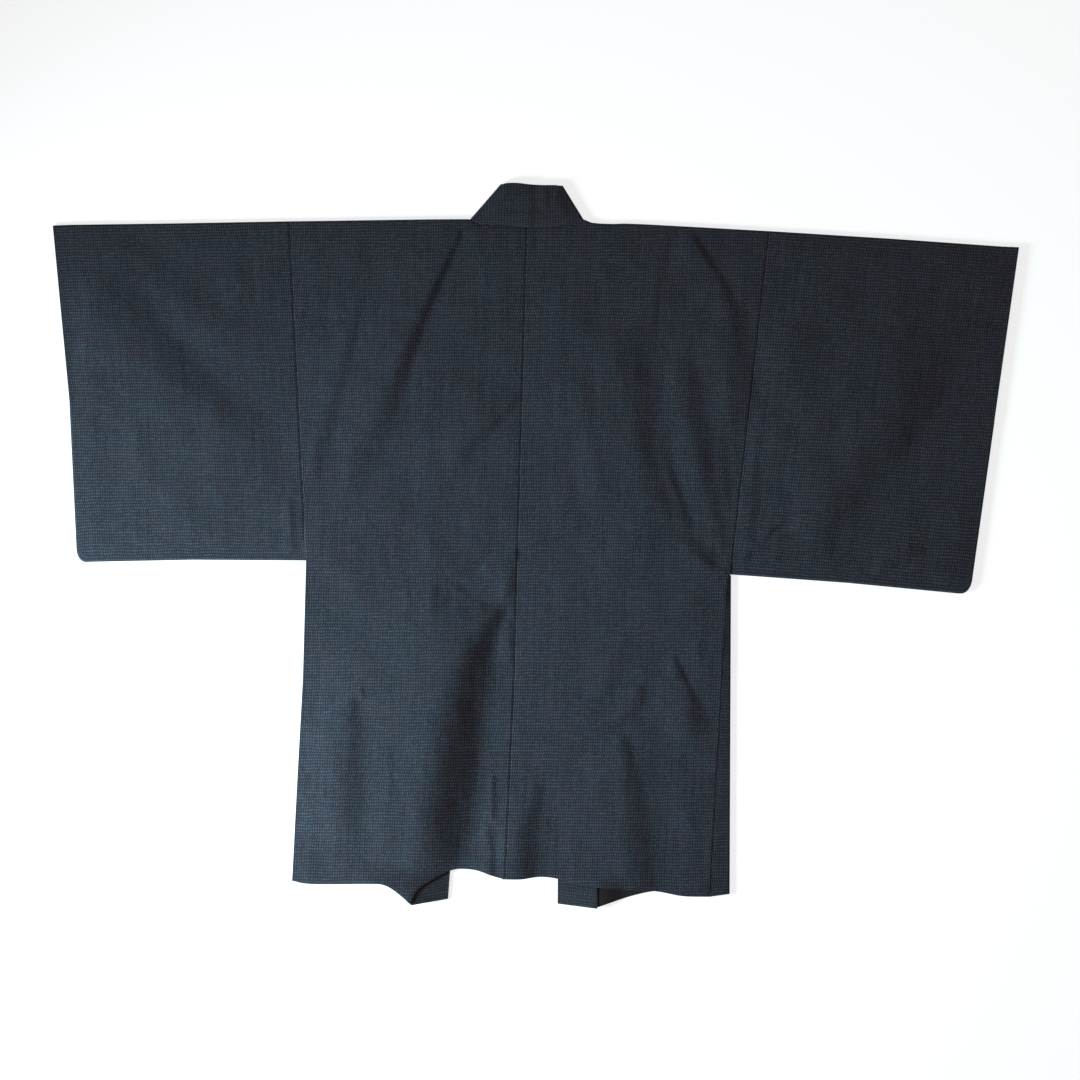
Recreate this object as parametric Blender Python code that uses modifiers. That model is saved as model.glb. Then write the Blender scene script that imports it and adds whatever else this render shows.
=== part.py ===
"""Haori jacket laid flat on its front, with its back up and its sleeves out.

Seven pieces of cloth, as a tailor cuts them: two long body pieces that run over the shoulders
without a seam, two sleeves folded on the shoulder line, two thin side gussets folded lengthwise,
and one doubled collar band that turns a folded corner at each side of the neck.

+X runs towards the wearer's right sleeve, +Y towards the collar and +Z up from the surface.
The tables are in millimetres on that surface, and the meshes are in metres.
"""

import math
from typing import NamedTuple

import bmesh
import bpy
from mathutils import Matrix, Vector

MM = 0.001

# Walls: a body wall is the cloth with its lining, and the collar band is doubled.
CLOTH_WALL = 1.0
COLLAR_WALL = 2.0
SEAM_GAP = 0.3

# Heights of the middle of each wall above the surface.
LOWER_LEVEL = CLOTH_WALL / 2
UPPER_LEVEL = COLLAR_WALL + SEAM_GAP + CLOTH_WALL / 2
BAND_LEVEL = COLLAR_WALL / 2
NECK_BAND_LEVEL = BAND_LEVEL + COLLAR_WALL + SEAM_GAP
TUCK_LEVELS = (LOWER_LEVEL + CLOTH_WALL + SEAM_GAP, LOWER_LEVEL + 2 * (CLOTH_WALL + SEAM_GAP))

# Points across and along each piece's lattice.
SHOULDER_COLUMNS = 8
ROWS_TO_ARMPIT = 15
ROWS_TO_GUSSET = 1
ROWS_TO_WAIST = 4
ROWS_TO_HEM = 9
FRONT_ROWS = (0, 7, 1, 2, 5)
SLEEVE_COLUMNS = 10
OPENING_ROWS = 8
SLEEVE_ROWS = 15
BAND_ROWS = 10

# How far the neck and hem curves reach into a body piece before it runs straight.
CURVE_REACH = 120.0


class Spot(NamedTuple):
    """A point on the surface."""

    x: float
    y: float


class Section(NamedTuple):
    """A line across a body piece, from its inner edge to its outer edge."""

    inner: Spot
    outer: Spot
    rows: int


class Station(NamedTuple):
    """A line across the collar band, from its seam to its folded free edge."""

    seam: Spot
    free: Spot


class SleeveLine(NamedTuple):
    """A line down a sleeve at a share of its width, by way of the height where the hand opening ends."""

    share: float
    top: Spot
    opening_end: Spot
    bottom: Spot


class Ridge(NamedTuple):
    """A soft ridge of cloth between two points, as wide and as high as it says."""

    start: Spot
    end: Spot
    half_width: float
    height: float


class Side(NamedTuple):
    """All that differs between the left and the right half of the jacket."""

    name: str
    back: tuple
    neck_corner: Spot
    neck: tuple
    back_hem: tuple
    front_hem: tuple
    sleeve: tuple


# The neck seam and the top edge of the collar, from the left corner to the right one.
NECK_STATIONS = (
    Station(Spot(-92.5, 467), Spot(-49, 517)),
    Station(Spot(-80, 461), Spot(-40, 519)),
    Station(Spot(-46, 458.5), Spot(-25, 519)),
    Station(Spot(-12, 456.5), Spot(-8, 517)),
    Station(Spot(22, 457.5), Spot(10, 516)),
    Station(Spot(54, 461), Spot(26, 516)),
    Station(Spot(68.5, 465.5), Spot(38, 515)),
)
CENTRE_STATION = 3
NECK_LEFT = Spot(-94, 467)
NECK_RIGHT = Spot(70, 465)

# The collar's ends at the front hems, below the hem of the back.
BAND_END_LEFT = Station(Spot(-178.5, -514), Spot(-125, -504))
BAND_END_RIGHT = Station(Spot(88.5, -518), Spot(31.5, -511))

# Body pieces: shoulder, armpit, gusset top, waist and hem. The back's inner edge is the centre seam.
BACK_LEFT = (
    Section(Spot(-12, 456.5), Spot(-352, 464), 0),
    Section(Spot(-26, -20), Spot(-328, -20), ROWS_TO_ARMPIT),
    Section(Spot(-26.2, -26), Spot(-328.2, -26), ROWS_TO_GUSSET),
    Section(Spot(-30, -185), Spot(-332.5, -190), ROWS_TO_WAIST),
    Section(Spot(-43, -476), Spot(-348, -478), ROWS_TO_HEM),
)
BACK_RIGHT = (
    Section(Spot(-12, 456.5), Spot(334, 450), 0),
    Section(Spot(-26, -20), Spot(279, -40), ROWS_TO_ARMPIT),
    Section(Spot(-26.2, -26), Spot(274.5, -46), ROWS_TO_GUSSET),
    Section(Spot(-30, -185), Spot(266, -190), ROWS_TO_WAIST),
    Section(Spot(-43, -476), Spot(248.5, -499), ROWS_TO_HEM),
)
GUSSET_TOP_SECTION = 2

# Hems, from the centre outwards on the back and from the collar outwards on the fronts.
BACK_HEM_LEFT = (
    Spot(-43, -476), Spot(-62, -471), Spot(-85, -463), Spot(-110, -464), Spot(-130, -470),
    Spot(-180, -479), Spot(-230, -481), Spot(-320, -482.5), Spot(-348, -478),
)
BACK_HEM_RIGHT = (
    Spot(-43, -476), Spot(-20, -476), Spot(5, -472.5), Spot(30, -475), Spot(60, -483),
    Spot(110, -490), Spot(170, -493), Spot(210, -500), Spot(248.5, -501),
)
FRONT_HEM_LEFT = (Spot(-178.5, -507), Spot(-205, -492), Spot(-225, -482), Spot(-280, -477), Spot(-348, -474))
FRONT_HEM_RIGHT = (Spot(88.5, -516), Spot(137, -500), Spot(172, -493), Spot(200, -495), Spot(248.5, -495))

# Sleeves: lines down them from the middle out to the hand opening and the small round corner.
SLEEVE_LEFT = (
    SleeveLine(0.5, Spot(-520, 461), Spot(-503, 206), Spot(-490, -19)),
    SleeveLine(0.93, Spot(-666, 459), Spot(-643, 206), Spot(-636, -22)),
    SleeveLine(1.0, Spot(-690, 458), Spot(-666, 206), Spot(-652, -17)),
)
SLEEVE_RIGHT = (
    SleeveLine(0.5, Spot(511, 439), Spot(484, 185), Spot(446, -52)),
    SleeveLine(0.93, Spot(667, 428), Spot(634, 181), Spot(602, -67)),
    SleeveLine(1.0, Spot(691, 427), Spot(656, 180), Spot(619, -62)),
)

# How far a sleeve's edge stands out just above its round corner.
CORNER_BULGE = 3.0

# Half widths of a gusset folded lengthwise, at its top and at the hem.
GUSSET_TOP_HALF = 4.0
GUSSET_HEM_HALF = 28.5
GUSSET_ROWS = 14
GUSSET_FOLD_RIGHT = (Spot(278.5, -46), Spot(277, -497))

# The left gusset is tucked between front and back, and lifts the back's edge by its two walls.
TUCK_LIFT = 2 * (CLOTH_WALL + SEAM_GAP) - (COLLAR_WALL - CLOTH_WALL)
TUCK_FLAT = 45.0
TUCK_FADE = 70.0

# The largest folds of the upper cloth: ridges it stands in as it lies.
RIDGES = (
    Ridge(Spot(-100, 400), Spot(-190, 160), 45, 5),
    Ridge(Spot(-190, 400), Spot(-250, 180), 50, 3.5),
    Ridge(Spot(-30, -70), Spot(-60, -240), 42, 9),
    Ridge(Spot(-60, -240), Spot(-95, -470), 42, 9),
    Ridge(Spot(-125, -120), Spot(-175, -470), 40, 4.5),
    Ridge(Spot(-252, -200), Spot(-262, -420), 42, 4),
    Ridge(Spot(12, -130), Spot(20, -470), 40, 4),
    Ridge(Spot(150, 310), Spot(165, 190), 40, 5),
    Ridge(Spot(165, 190), Spot(245, 10), 40, 5),
    Ridge(Spot(170, -120), Spot(178, -440), 42, 4.5),
    Ridge(Spot(90, -180), Spot(100, -420), 40, 3.5),
    Ridge(Spot(-590, 410), Spot(-420, 230), 60, 4.5),
    Ridge(Spot(-600, 270), Spot(-400, 90), 60, 4),
    Ridge(Spot(557, 320), Spot(507, 195), 65, 8),
    Ridge(Spot(507, 195), Spot(400, 45), 65, 8),
    Ridge(Spot(350, 30), Spot(300, 0), 35, 4),
)

SIDES = (
    Side(
        "left", BACK_LEFT, NECK_LEFT, NECK_STATIONS[CENTRE_STATION:0:-1],
        BACK_HEM_LEFT, FRONT_HEM_LEFT, SLEEVE_LEFT,
    ),
    Side(
        "right", BACK_RIGHT, NECK_RIGHT, NECK_STATIONS[CENTRE_STATION:-1],
        BACK_HEM_RIGHT, FRONT_HEM_RIGHT, SLEEVE_RIGHT,
    ),
)

BODY_COLOUR = (0.032, 0.041, 0.054)
SLEEVE_COLOUR = (0.027, 0.035, 0.047)
GUSSET_COLOUR = (0.036, 0.045, 0.058)
COLLAR_COLOUR = (0.022, 0.025, 0.033)
CLOTH_ROUGHNESS = 0.85


def mix(a, b, share):
    """The number a share of the way from a to b."""
    return a + (b - a) * share


def between(a, b, share):
    """The spot a share of the way from a to b."""
    return Spot(mix(a.x, b.x, share), mix(a.y, b.y, share))


def ease(share):
    """A soft step from 0 to 1."""
    share = min(max(share, 0.0), 1.0)
    return share * share * (3 - 2 * share)


def height_on(line, x):
    """The y of a line of spots above x, held at its ends."""
    spots = sorted(line)
    x = min(max(x, spots[0].x), spots[-1].x)
    for a, b in zip(spots, spots[1:]):
        if x <= b.x:
            return mix(a.y, b.y, (x - a.x) / (b.x - a.x))
    return spots[-1].y


def distance_to(ridge, x, y):
    """How far a point lies from a ridge's middle line."""
    run = Vector((ridge.end.x - ridge.start.x, ridge.end.y - ridge.start.y))
    offset = Vector((x - ridge.start.x, y - ridge.start.y))
    share = min(max(offset.dot(run) / run.length_squared, 0.0), 1.0)
    return (offset - run * share).length


def ridge_height(x, y):
    """How far the folds lift the upper cloth at a point, the highest ridge winning."""
    lift = 0.0
    for ridge in RIDGES:
        share = distance_to(ridge, x, y) / ridge.half_width
        if share < 1.0:
            lift = max(lift, ridge.height * (1 - share * share) ** 2)
    return lift


def tuck_height(x, y):
    """How far the gusset tucked under the left edge lifts the back there."""
    edge = mix(-328, -348, ease((-20 - y) / 458))
    across = 1 - ease((x - edge - TUCK_FLAT) / TUCK_FADE)
    down = ease((45 - y) / 55)
    outside = ease((x - edge + 40) / 30)
    return TUCK_LIFT * across * down * outside


def upper(x, y):
    """A point of the upper cloth, on its folds."""
    return Vector((x, y, UPPER_LEVEL + ridge_height(x, y) + tuck_height(x, y))) * MM


def lower(x, y):
    """A point of the lower cloth, flat on the surface."""
    return Vector((x, y, LOWER_LEVEL)) * MM


def lattice(bm, columns, rows, place):
    """Adds a grid of cloth and puts each of its points where place(column, row) says."""
    grid = bmesh.ops.create_grid(bm, x_segments=columns, y_segments=rows, size=0.5)
    points = {}
    for vert in grid["verts"]:
        column = round((vert.co.x + 0.5) * columns)
        row = round((vert.co.y + 0.5) * rows)
        points[column, row] = vert
    for (column, row), vert in points.items():
        vert.co = place(column, row)
    return points


def chain(bm, points, keys):
    """The edges that join the lattice points of the given keys, in order."""
    verts = [points[key] for key in keys]
    return [bm.edges.get(pair) for pair in zip(verts, verts[1:])]


def join_layers(bm, above, below, keys_above, keys_below=None):
    """Turns the cloth over an edge: a narrow wall between two layers' matching edges."""
    edges = chain(bm, above, keys_above) + chain(bm, below, keys_below or keys_above)
    bmesh.ops.bridge_loops(bm, edges=edges)


def cloth_material(name, colour, roughness):
    """The piece's own plain cloth finish."""
    material = bpy.data.materials.new(name)
    material.use_nodes = True
    shader = material.node_tree.nodes["Principled BSDF"]
    shader.inputs["Base Color"].default_value = (*colour, 1.0)
    shader.inputs["Roughness"].default_value = roughness
    shader.inputs["Metallic"].default_value = 0.0
    return material


def finish_piece(collection, name, bm, wall, colour):
    """Makes the object, and gives its open surface the thickness of its wall."""
    bmesh.ops.recalc_face_normals(bm, faces=bm.faces)
    mesh = bpy.data.meshes.new(name)
    bm.to_mesh(mesh)
    bm.free()
    piece = bpy.data.objects.new(name, mesh)
    collection.objects.link(piece)
    mesh.materials.append(cloth_material(name, colour, CLOTH_ROUGHNESS))
    thickness = piece.modifiers.new("wall", "SOLIDIFY")
    thickness.thickness = wall * MM
    thickness.offset = 0.0
    thickness.solidify_mode = "NON_MANIFOLD"
    thickness.nonmanifold_thickness_mode = "CONSTRAINTS"
    return piece


def section_rows(sections):
    """Every row of a body piece, as its two ends, from the shoulder to the hem."""
    rows = [(sections[0].inner, sections[0].outer)]
    for start, end in zip(sections, sections[1:]):
        for step in range(1, end.rows + 1):
            share = step / end.rows
            rows.append((between(start.inner, end.inner, share), between(start.outer, end.outer, share)))
    return rows


def front_sections(side):
    """A front's sections: its inner edge is the collar seam, and its outer edge is under the back's."""
    sections = []
    for index, (section, rows) in enumerate(zip(side.back, FRONT_ROWS)):
        share = sum(FRONT_ROWS[:index + 1]) / sum(FRONT_ROWS)
        outer = section.outer if index < len(side.back) - 1 else side.front_hem[-1]
        sections.append(Section(between(side.neck_corner, side.front_hem[0], share), outer, rows))
    return sections


def panel_point(rows, top_line, hem_line, share, row):
    """A point of a body panel: straight across its rows, with its curved top and hem blended in."""
    inner, outer = rows[row]
    spot = between(inner, outer, share)
    top = between(*rows[0], share)
    hem = between(*rows[-1], share)
    from_top = ease(1 - (top.y - spot.y) / CURVE_REACH)
    from_hem = ease(1 - (spot.y - hem.y) / CURVE_REACH)
    rise = from_top * (height_on(top_line, top.x) - top.y) + from_hem * (height_on(hem_line, hem.x) - hem.y)
    return Spot(spot.x, spot.y + rise)


def seam_shift(share, way):
    """Half the seam gap, away from the seam at either edge of a piece."""
    return way * SEAM_GAP / 2 * (1 - 2 * share)


def make_body(collection, side):
    """A body piece: the back, over the shoulder, and the front from the collar seam outwards."""
    way = -1 if side.name == "left" else 1
    back = section_rows(side.back)
    front = section_rows(front_sections(side))
    width = side.back[0].outer.x - side.back[0].inner.x
    neck_shares = [(station.seam.x - side.back[0].inner.x) / width for station in side.neck]
    corner = (side.neck_corner.x - side.back[0].inner.x) / width
    shoulder_shares = [mix(corner, 1.0, step / SHOULDER_COLUMNS) for step in range(SHOULDER_COLUMNS + 1)]
    shares = neck_shares + shoulder_shares
    top_line = [Spot(station.seam.x, station.seam.y - SEAM_GAP) for station in side.neck]
    top_line += [side.neck_corner, side.back[0].outer]

    def back_point(column, row):
        share = shares[column]
        spot = panel_point(back, top_line, side.back_hem, share, row)
        return upper(spot.x + seam_shift(share, way), spot.y)

    def front_point(column, row):
        share = column / SHOULDER_COLUMNS
        spot = panel_point(front, top_line, side.front_hem, share, row)
        return lower(spot.x + seam_shift(share, way), spot.y)

    bm = bmesh.new()
    back_points = lattice(bm, len(shares) - 1, len(back) - 1, back_point)
    front_points = lattice(bm, SHOULDER_COLUMNS, len(front) - 1, front_point)
    first = len(neck_shares)
    for column in range(SHOULDER_COLUMNS + 1):
        above = back_points[first + column, 0].co
        front_points[column, 0].co.xy = above.xy
    join_layers(
        bm, back_points, front_points,
        [(first + column, 0) for column in range(SHOULDER_COLUMNS + 1)],
        [(column, 0) for column in range(SHOULDER_COLUMNS + 1)],
    )
    return finish_piece(collection, f"body_{side.name}", bm, CLOTH_WALL, BODY_COLOUR)


def armhole_line(side):
    """The sleeve's first line, straight down the back's edge from the shoulder to the armpit."""
    top, bottom = side.back[0].outer, side.back[1].outer
    return SleeveLine(0.0, top, between(top, bottom, OPENING_ROWS / SLEEVE_ROWS), bottom)


def sleeve_spot(lines, share, row):
    """A point of a sleeve at a share of its width and a row, from the shoulder to the bottom."""
    start, end = next(pair for pair in zip(lines, lines[1:]) if share <= pair[1].share)
    across = (share - start.share) / (end.share - start.share)
    opening_end = between(start.opening_end, end.opening_end, across)
    if row <= OPENING_ROWS:
        return between(between(start.top, end.top, across), opening_end, row / OPENING_ROWS)
    below = (row - OPENING_ROWS) / (SLEEVE_ROWS - OPENING_ROWS)
    return between(opening_end, between(start.bottom, end.bottom, across), below)


def make_sleeve(collection, side):
    """A sleeve: folded on the shoulder, closed along the bottom and up to the hand opening."""
    way = -1 if side.name == "left" else 1
    lines = (armhole_line(side), *side.sleeve)
    corner_share = lines[-2].share
    shares = [mix(0.0, corner_share, step / (SLEEVE_COLUMNS - 1)) for step in range(SLEEVE_COLUMNS)]
    shares.append(1.0)

    def spot_at(column, row):
        spot = sleeve_spot(lines, shares[column], row)
        bulge = CORNER_BULGE if column == SLEEVE_COLUMNS and row == SLEEVE_ROWS - 1 else 0.0
        return Spot(spot.x + way * (SEAM_GAP / 2 * (1 - shares[column]) + bulge), spot.y)

    bm = bmesh.new()
    above = lattice(bm, SLEEVE_COLUMNS, SLEEVE_ROWS, lambda column, row: upper(*spot_at(column, row)))
    below = lattice(bm, SLEEVE_COLUMNS, SLEEVE_ROWS, lambda column, row: lower(*spot_at(column, row)))
    shoulder = [(column, 0) for column in range(SLEEVE_COLUMNS + 1)]
    sewn_edge = [(SLEEVE_COLUMNS, row) for row in range(OPENING_ROWS, SLEEVE_ROWS + 1)]
    bottom = [(column, SLEEVE_ROWS) for column in range(SLEEVE_COLUMNS - 1, -1, -1)]
    join_layers(bm, above, below, shoulder)
    join_layers(bm, above, below, sewn_edge + bottom)
    return finish_piece(collection, f"sleeve_{side.name}", bm, CLOTH_WALL, SLEEVE_COLOUR)


def outer_edge(sections, y):
    """The x of a back's outer edge at y, from the gusset's top to the hem."""
    spots = [section.outer for section in sections[GUSSET_TOP_SECTION:]]
    for above, below in zip(spots, spots[1:]):
        if y >= below.y:
            return mix(above.x, below.x, (y - above.y) / (below.y - above.y))
    return spots[-1].x


def make_gusset_right(collection):
    """The right gusset, folded outwards: its upper half shows between the back and the edge."""
    top, hem = GUSSET_FOLD_RIGHT

    def spot_at(column, row):
        fold = between(top, hem, row / GUSSET_ROWS)
        seam = Spot(outer_edge(BACK_RIGHT, fold.y) + SEAM_GAP / 2, fold.y)
        return between(seam, fold, column)

    bm = bmesh.new()
    above = lattice(bm, 1, GUSSET_ROWS, lambda column, row: upper(*spot_at(column, row)))
    below = lattice(bm, 1, GUSSET_ROWS, lambda column, row: lower(*spot_at(column, row)))
    join_layers(bm, above, below, [(1, row) for row in range(GUSSET_ROWS + 1)])
    return finish_piece(collection, "gusset_right", bm, CLOTH_WALL, GUSSET_COLOUR)


def make_gusset_left(collection):
    """The left gusset, folded inwards: both halves lie between the front and the back."""
    top = BACK_LEFT[GUSSET_TOP_SECTION].outer
    hem = FRONT_HEM_LEFT[-1]

    def spot_at(column, row):
        share = row / GUSSET_ROWS
        y = mix(top.y, hem.y, share)
        return Spot(outer_edge(BACK_LEFT, y) + column * mix(GUSSET_TOP_HALF, GUSSET_HEM_HALF, share), y)

    def place(level):
        return lambda column, row: Vector((*spot_at(column, row), level)) * MM

    bm = bmesh.new()
    below = lattice(bm, 1, GUSSET_ROWS, place(TUCK_LEVELS[0]))
    above = lattice(bm, 1, GUSSET_ROWS, place(TUCK_LEVELS[1]))
    join_layers(bm, above, below, [(1, row) for row in range(GUSSET_ROWS + 1)])
    return finish_piece(collection, "gusset_left", bm, CLOTH_WALL, GUSSET_COLOUR)


def make_collar(collection):
    """The collar band: up one front, over a folded corner, round the neck and down the other."""
    left = [band_station(BAND_END_LEFT, NECK_STATIONS[0], row) for row in range(BAND_ROWS + 1)]
    right = [band_station(BAND_END_RIGHT, NECK_STATIONS[-1], row) for row in range(BAND_ROWS + 1)]
    path = [(station, BAND_LEVEL) for station in left]
    path += [(station, NECK_BAND_LEVEL) for station in NECK_STATIONS]
    path += [(station, BAND_LEVEL) for station in reversed(right)]

    def point(column, row):
        station, level = path[row]
        spot = between(station.seam, station.free, column / 2)
        return Vector((*spot, level)) * MM

    bm = bmesh.new()
    lattice(bm, 2, len(path) - 1, point)
    return finish_piece(collection, "collar", bm, COLLAR_WALL, COLLAR_COLOUR)


def band_station(end, corner, row):
    """A line across the band on a front, from its end at the hem to its corner at the neck."""
    share = row / BAND_ROWS
    inside = SEAM_GAP / 2 if end.free.x > end.seam.x else -SEAM_GAP / 2
    seam = between(end.seam, corner.seam, share)
    return Station(Spot(seam.x + inside * (1 - share), seam.y), between(end.free, corner.free, share))


def centre_on_outline(pieces):
    """Moves every mesh so that the origin is under the middle of the whole outline."""
    bpy.context.view_layer.update()
    depsgraph = bpy.context.evaluated_depsgraph_get()
    corners = [Vector(corner) for piece in pieces for corner in piece.evaluated_get(depsgraph).bound_box]
    low = Vector([min(corner[axis] for corner in corners) for axis in range(3)])
    high = Vector([max(corner[axis] for corner in corners) for axis in range(3)])
    middle = Vector(((low.x + high.x) / 2, (low.y + high.y) / 2, low.z))
    for piece in pieces:
        piece.data.transform(Matrix.Translation(-middle))


def main():
    """Clears the scene and builds the jacket."""
    for old in list(bpy.data.objects):
        bpy.data.objects.remove(old, do_unlink=True)
    collection = bpy.data.collections.new("haori_jacket")
    bpy.context.scene.collection.children.link(collection)
    pieces = []
    for side in SIDES:
        pieces.append(make_body(collection, side))
        pieces.append(make_sleeve(collection, side))
    pieces.append(make_gusset_left(collection))
    pieces.append(make_gusset_right(collection))
    pieces.append(make_collar(collection))
    centre_on_outline(pieces)


main()
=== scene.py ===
"""Haori jacket in dark navy cloth, laid flat on its front with its back up and its sleeves out.

Each piece that a tailor cuts is one sheet: two body pieces that run over the shoulders, two
sleeves, two gussets and the doubled collar band. A sheet starts as a grid whose points are laid
on the jacket's plan, and it is lifted by folds, billows and seams that a table gives one by one.

The plan and all tables are in millimetres, +X towards the wearer's right sleeve, +Y towards the
collar and +Z up. Meshes are in metres. UV maps are in metres of cloth: U across, V along.
"""

import logging
import math
from collections.abc import Callable
from dataclasses import dataclass
from enum import Enum

import bmesh
import bpy
import numpy as np
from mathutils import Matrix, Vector


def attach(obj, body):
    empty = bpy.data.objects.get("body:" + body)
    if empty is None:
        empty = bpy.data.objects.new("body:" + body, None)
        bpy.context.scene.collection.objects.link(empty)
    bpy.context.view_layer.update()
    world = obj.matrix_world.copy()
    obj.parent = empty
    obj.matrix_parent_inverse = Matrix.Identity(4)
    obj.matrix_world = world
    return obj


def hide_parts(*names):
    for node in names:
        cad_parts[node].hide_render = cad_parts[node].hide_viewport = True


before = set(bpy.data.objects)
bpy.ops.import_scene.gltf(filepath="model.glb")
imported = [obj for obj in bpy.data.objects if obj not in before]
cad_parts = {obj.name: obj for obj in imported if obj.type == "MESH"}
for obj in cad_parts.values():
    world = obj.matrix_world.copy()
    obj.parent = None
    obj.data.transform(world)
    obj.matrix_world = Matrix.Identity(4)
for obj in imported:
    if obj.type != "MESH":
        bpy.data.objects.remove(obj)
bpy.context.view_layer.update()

LOG = logging.getLogger("haori")

MM = 0.001
WELD_DISTANCE = 0.02 * MM
RIM_ANGLE = math.radians(65)
Line = tuple[tuple[float, float], ...]

# From the plan's origin to the middle of the outline.
PLAN_SHIFT = (-0.5, -0.5)

# Walls, and the middle levels of the walls above the surface.
CLOTH_WALL = 1.0
BAND_WALL = 2.0
LOWER_LEVEL = 0.5
UPPER_LEVEL = 3.4
BAND_LEVEL = 1.0
NECK_BAND_LEVEL = 3.7
TUCK_LEVELS = (1.8, 3.1)
TUCK_LIFT = 1.3
FOLD_MIDDLE = (UPPER_LEVEL + 0.2 + LOWER_LEVEL) / 2
# The rounding of a wall's rims and its steps, for the cloth and for the band.
CLOTH_RIM = (0.3, 2)
BAND_RIM = (0.75, 3)

# Grid spacing on cloth that shows, along and across, and on cloth that lies underneath.
SHOWN_STEP = 3.2
HIDDEN_STEP = 7.5
# Distances from an edge at which extra rows make it round.
EDGE_STEPS = (0.0, 0.3, 0.9, 1.9, 3.4)
# How far a seam allowance reaches under its neighbour, in steps, and how much lower it lies.
ALLOWANCE_STEPS = (1.2, 3.0, 5.5)
ALLOWANCE_DROP = 0.6
# The level of the neck's allowance, and how far the front's lies above the front.
NECK_ALLOWANCE_LEVEL = 1.7
FRONT_ALLOWANCE_RISE = 0.3
# The share of the folds' height that is left at an edge, and how far in it is whole again.
CALM_AT_FOLD = (0.22, 28.0)
CALM_AT_OPENING = (0.15, 40.0)
CALM_AT_ARMHOLE = (0.7, 45.0)
CALM_BELOW_ARMPIT = 0.85
# How much the back sinks at the neck seam and at the hem, and how far in.
NECK_SINK, NECK_SINK_REACH = 0.7, 5.0
HEM_SINK, HEM_SINK_REACH = 0.5, 3.0
# How far in from a hem, a fold and the right gusset's fold the cloth is worn.
HEM_WEAR, FOLD_WEAR, GUSSET_WEAR = 2.5, 3.0, 2.0
# How near its fold the front turns up towards it.
FRONT_TURN = 20.0
# The rise of the cloth underneath, the share of its waves that lies flat, its wavelengths, and the
# Y above which the front rises at all, with its fade.
LOWER_RISE, LOWER_REST = 0.45, 0.7
LOWER_WAVES = (41.0, 97.0, 63.0, 151.0)
LOWER_STOP = (-470.0, 40.0)
# The left edge above the tucked gusset: X and Y at the top, how far out it runs and its length.
TUCK_TOP, TUCK_SPREAD, TUCK_LENGTH = (-328.0, -20.0), 20.0, 458.0
# Where its lift ends inwards, upwards and outwards, each with its fade.
TUCK_INWARDS, TUCK_UPWARDS, TUCK_OUTWARDS = (45.0, 70.0), (45.0, 55.0), (40.0, 30.0)
# How much of a seam's sinking there is beside the right gusset.
GUSSET_SEAM = 0.3
GROOVE_WIDTH = 0.9
SEAM_GAP = 0.3
# How far into a panel the curves of its top and its hem bend the grid.
CURVE_REACH = 120.0
# How near a folded edge a layer starts to turn: cloth, tucked gusset and band.
FOLD_RADIUS = 2.0
TUCK_RADIUS = 1.2
BAND_RADIUS = 2.4
# Where the lengthwise UV starts, below the hem, for the body and for the gussets.
V_START = 600.0
GUSSET_V_START = 500.0


class Half(Enum):
    """The wearer's left or right half."""

    LEFT = "left"
    RIGHT = "right"

    @property
    def way(self) -> int:
        """The sign of X on this half."""
        return -1 if self is Half.LEFT else 1


class Slot(Enum):
    """Material slots of the record."""

    CLOTH = "cloth"
    COLLAR = "collar_cloth"


# ---------------------------------------------------------------------------------------------
# The plan
# ---------------------------------------------------------------------------------------------

@dataclass(frozen=True)
class HalfPlan:
    """The outline of one half of the jacket, in millimetres on the surface.

    The back's inner and outer edges have a point each at the shoulder, the armpit, the gusset's
    top, the waist and the hem. Neck and hems run outwards from the centre or the collar.
    """

    half: Half
    inner: Line
    outer: Line
    neck: Line
    neck_corner: tuple[float, float]
    back_hem: Line
    front_hem: Line
    sleeve: tuple[tuple[float, Line], ...]
    shoulder: Line = ()

    @property
    def top_line(self) -> Line:
        """The neck seam and the shoulder fold, from the centre to the sleeve."""
        return (*self.neck, self.neck_corner, *self.shoulder, self.outer[0])

    @property
    def shoulder_line(self) -> Line:
        """The shoulder fold, from the neck corner to the sleeve."""
        return (self.neck_corner, *self.shoulder, self.outer[0])

    @property
    def front_inner(self) -> Line:
        """The front's collar seam, with points at the same shares as the front's outer edge.

        Returns:
            The seam's points.
        """
        start, end = np.array(self.neck_corner), np.array(self.front_hem[0])
        shares = (0.0, 7 / 15, 8 / 15, 10 / 15, 1.0)
        return tuple(tuple(start + (end - start) * share) for share in shares)

    @property
    def front_outer(self) -> Line:
        """The front's outer edge, which lies under the back's."""
        return (*self.outer[:4], self.front_hem[-1])


LEFT = HalfPlan(
    half=Half.LEFT,
    inner=((-12, 456.5), (-26, -20), (-26.2, -26), (-30, -185), (-43, -476)),
    outer=((-352, 464), (-328, -20), (-328.2, -26), (-332.5, -190), (-348, -478)),
    neck=((-12, 456.2), (-46, 458.2), (-80, 460.7)),
    neck_corner=(-94, 467),
    back_hem=(
        (-43, -476), (-62, -471), (-85, -463), (-112, -461), (-126, -465.5), (-136, -470), (-150, -478),
        (-163, -486), (-172, -496), (-179, -511), (-184, -506.5), (-200, -493), (-217, -483.5), (-240, -482),
        (-320, -482.5), (-348, -478),
    ),
    front_hem=((-178.5, -511.5), (-188, -502), (-203, -490), (-222, -480), (-280, -474.5), (-348, -472)),
    sleeve=(
        (0.0, ((-352, 464), (-339.2, 206), (-328, -20))),
        (0.5, ((-520, 461), (-503, 206), (-490, -19))),
        (0.93, ((-666, 459), (-643, 206), (-636, -22))),
        (1.0, ((-690, 458), (-666, 206), (-655, -23))),
    ),
)
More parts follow.
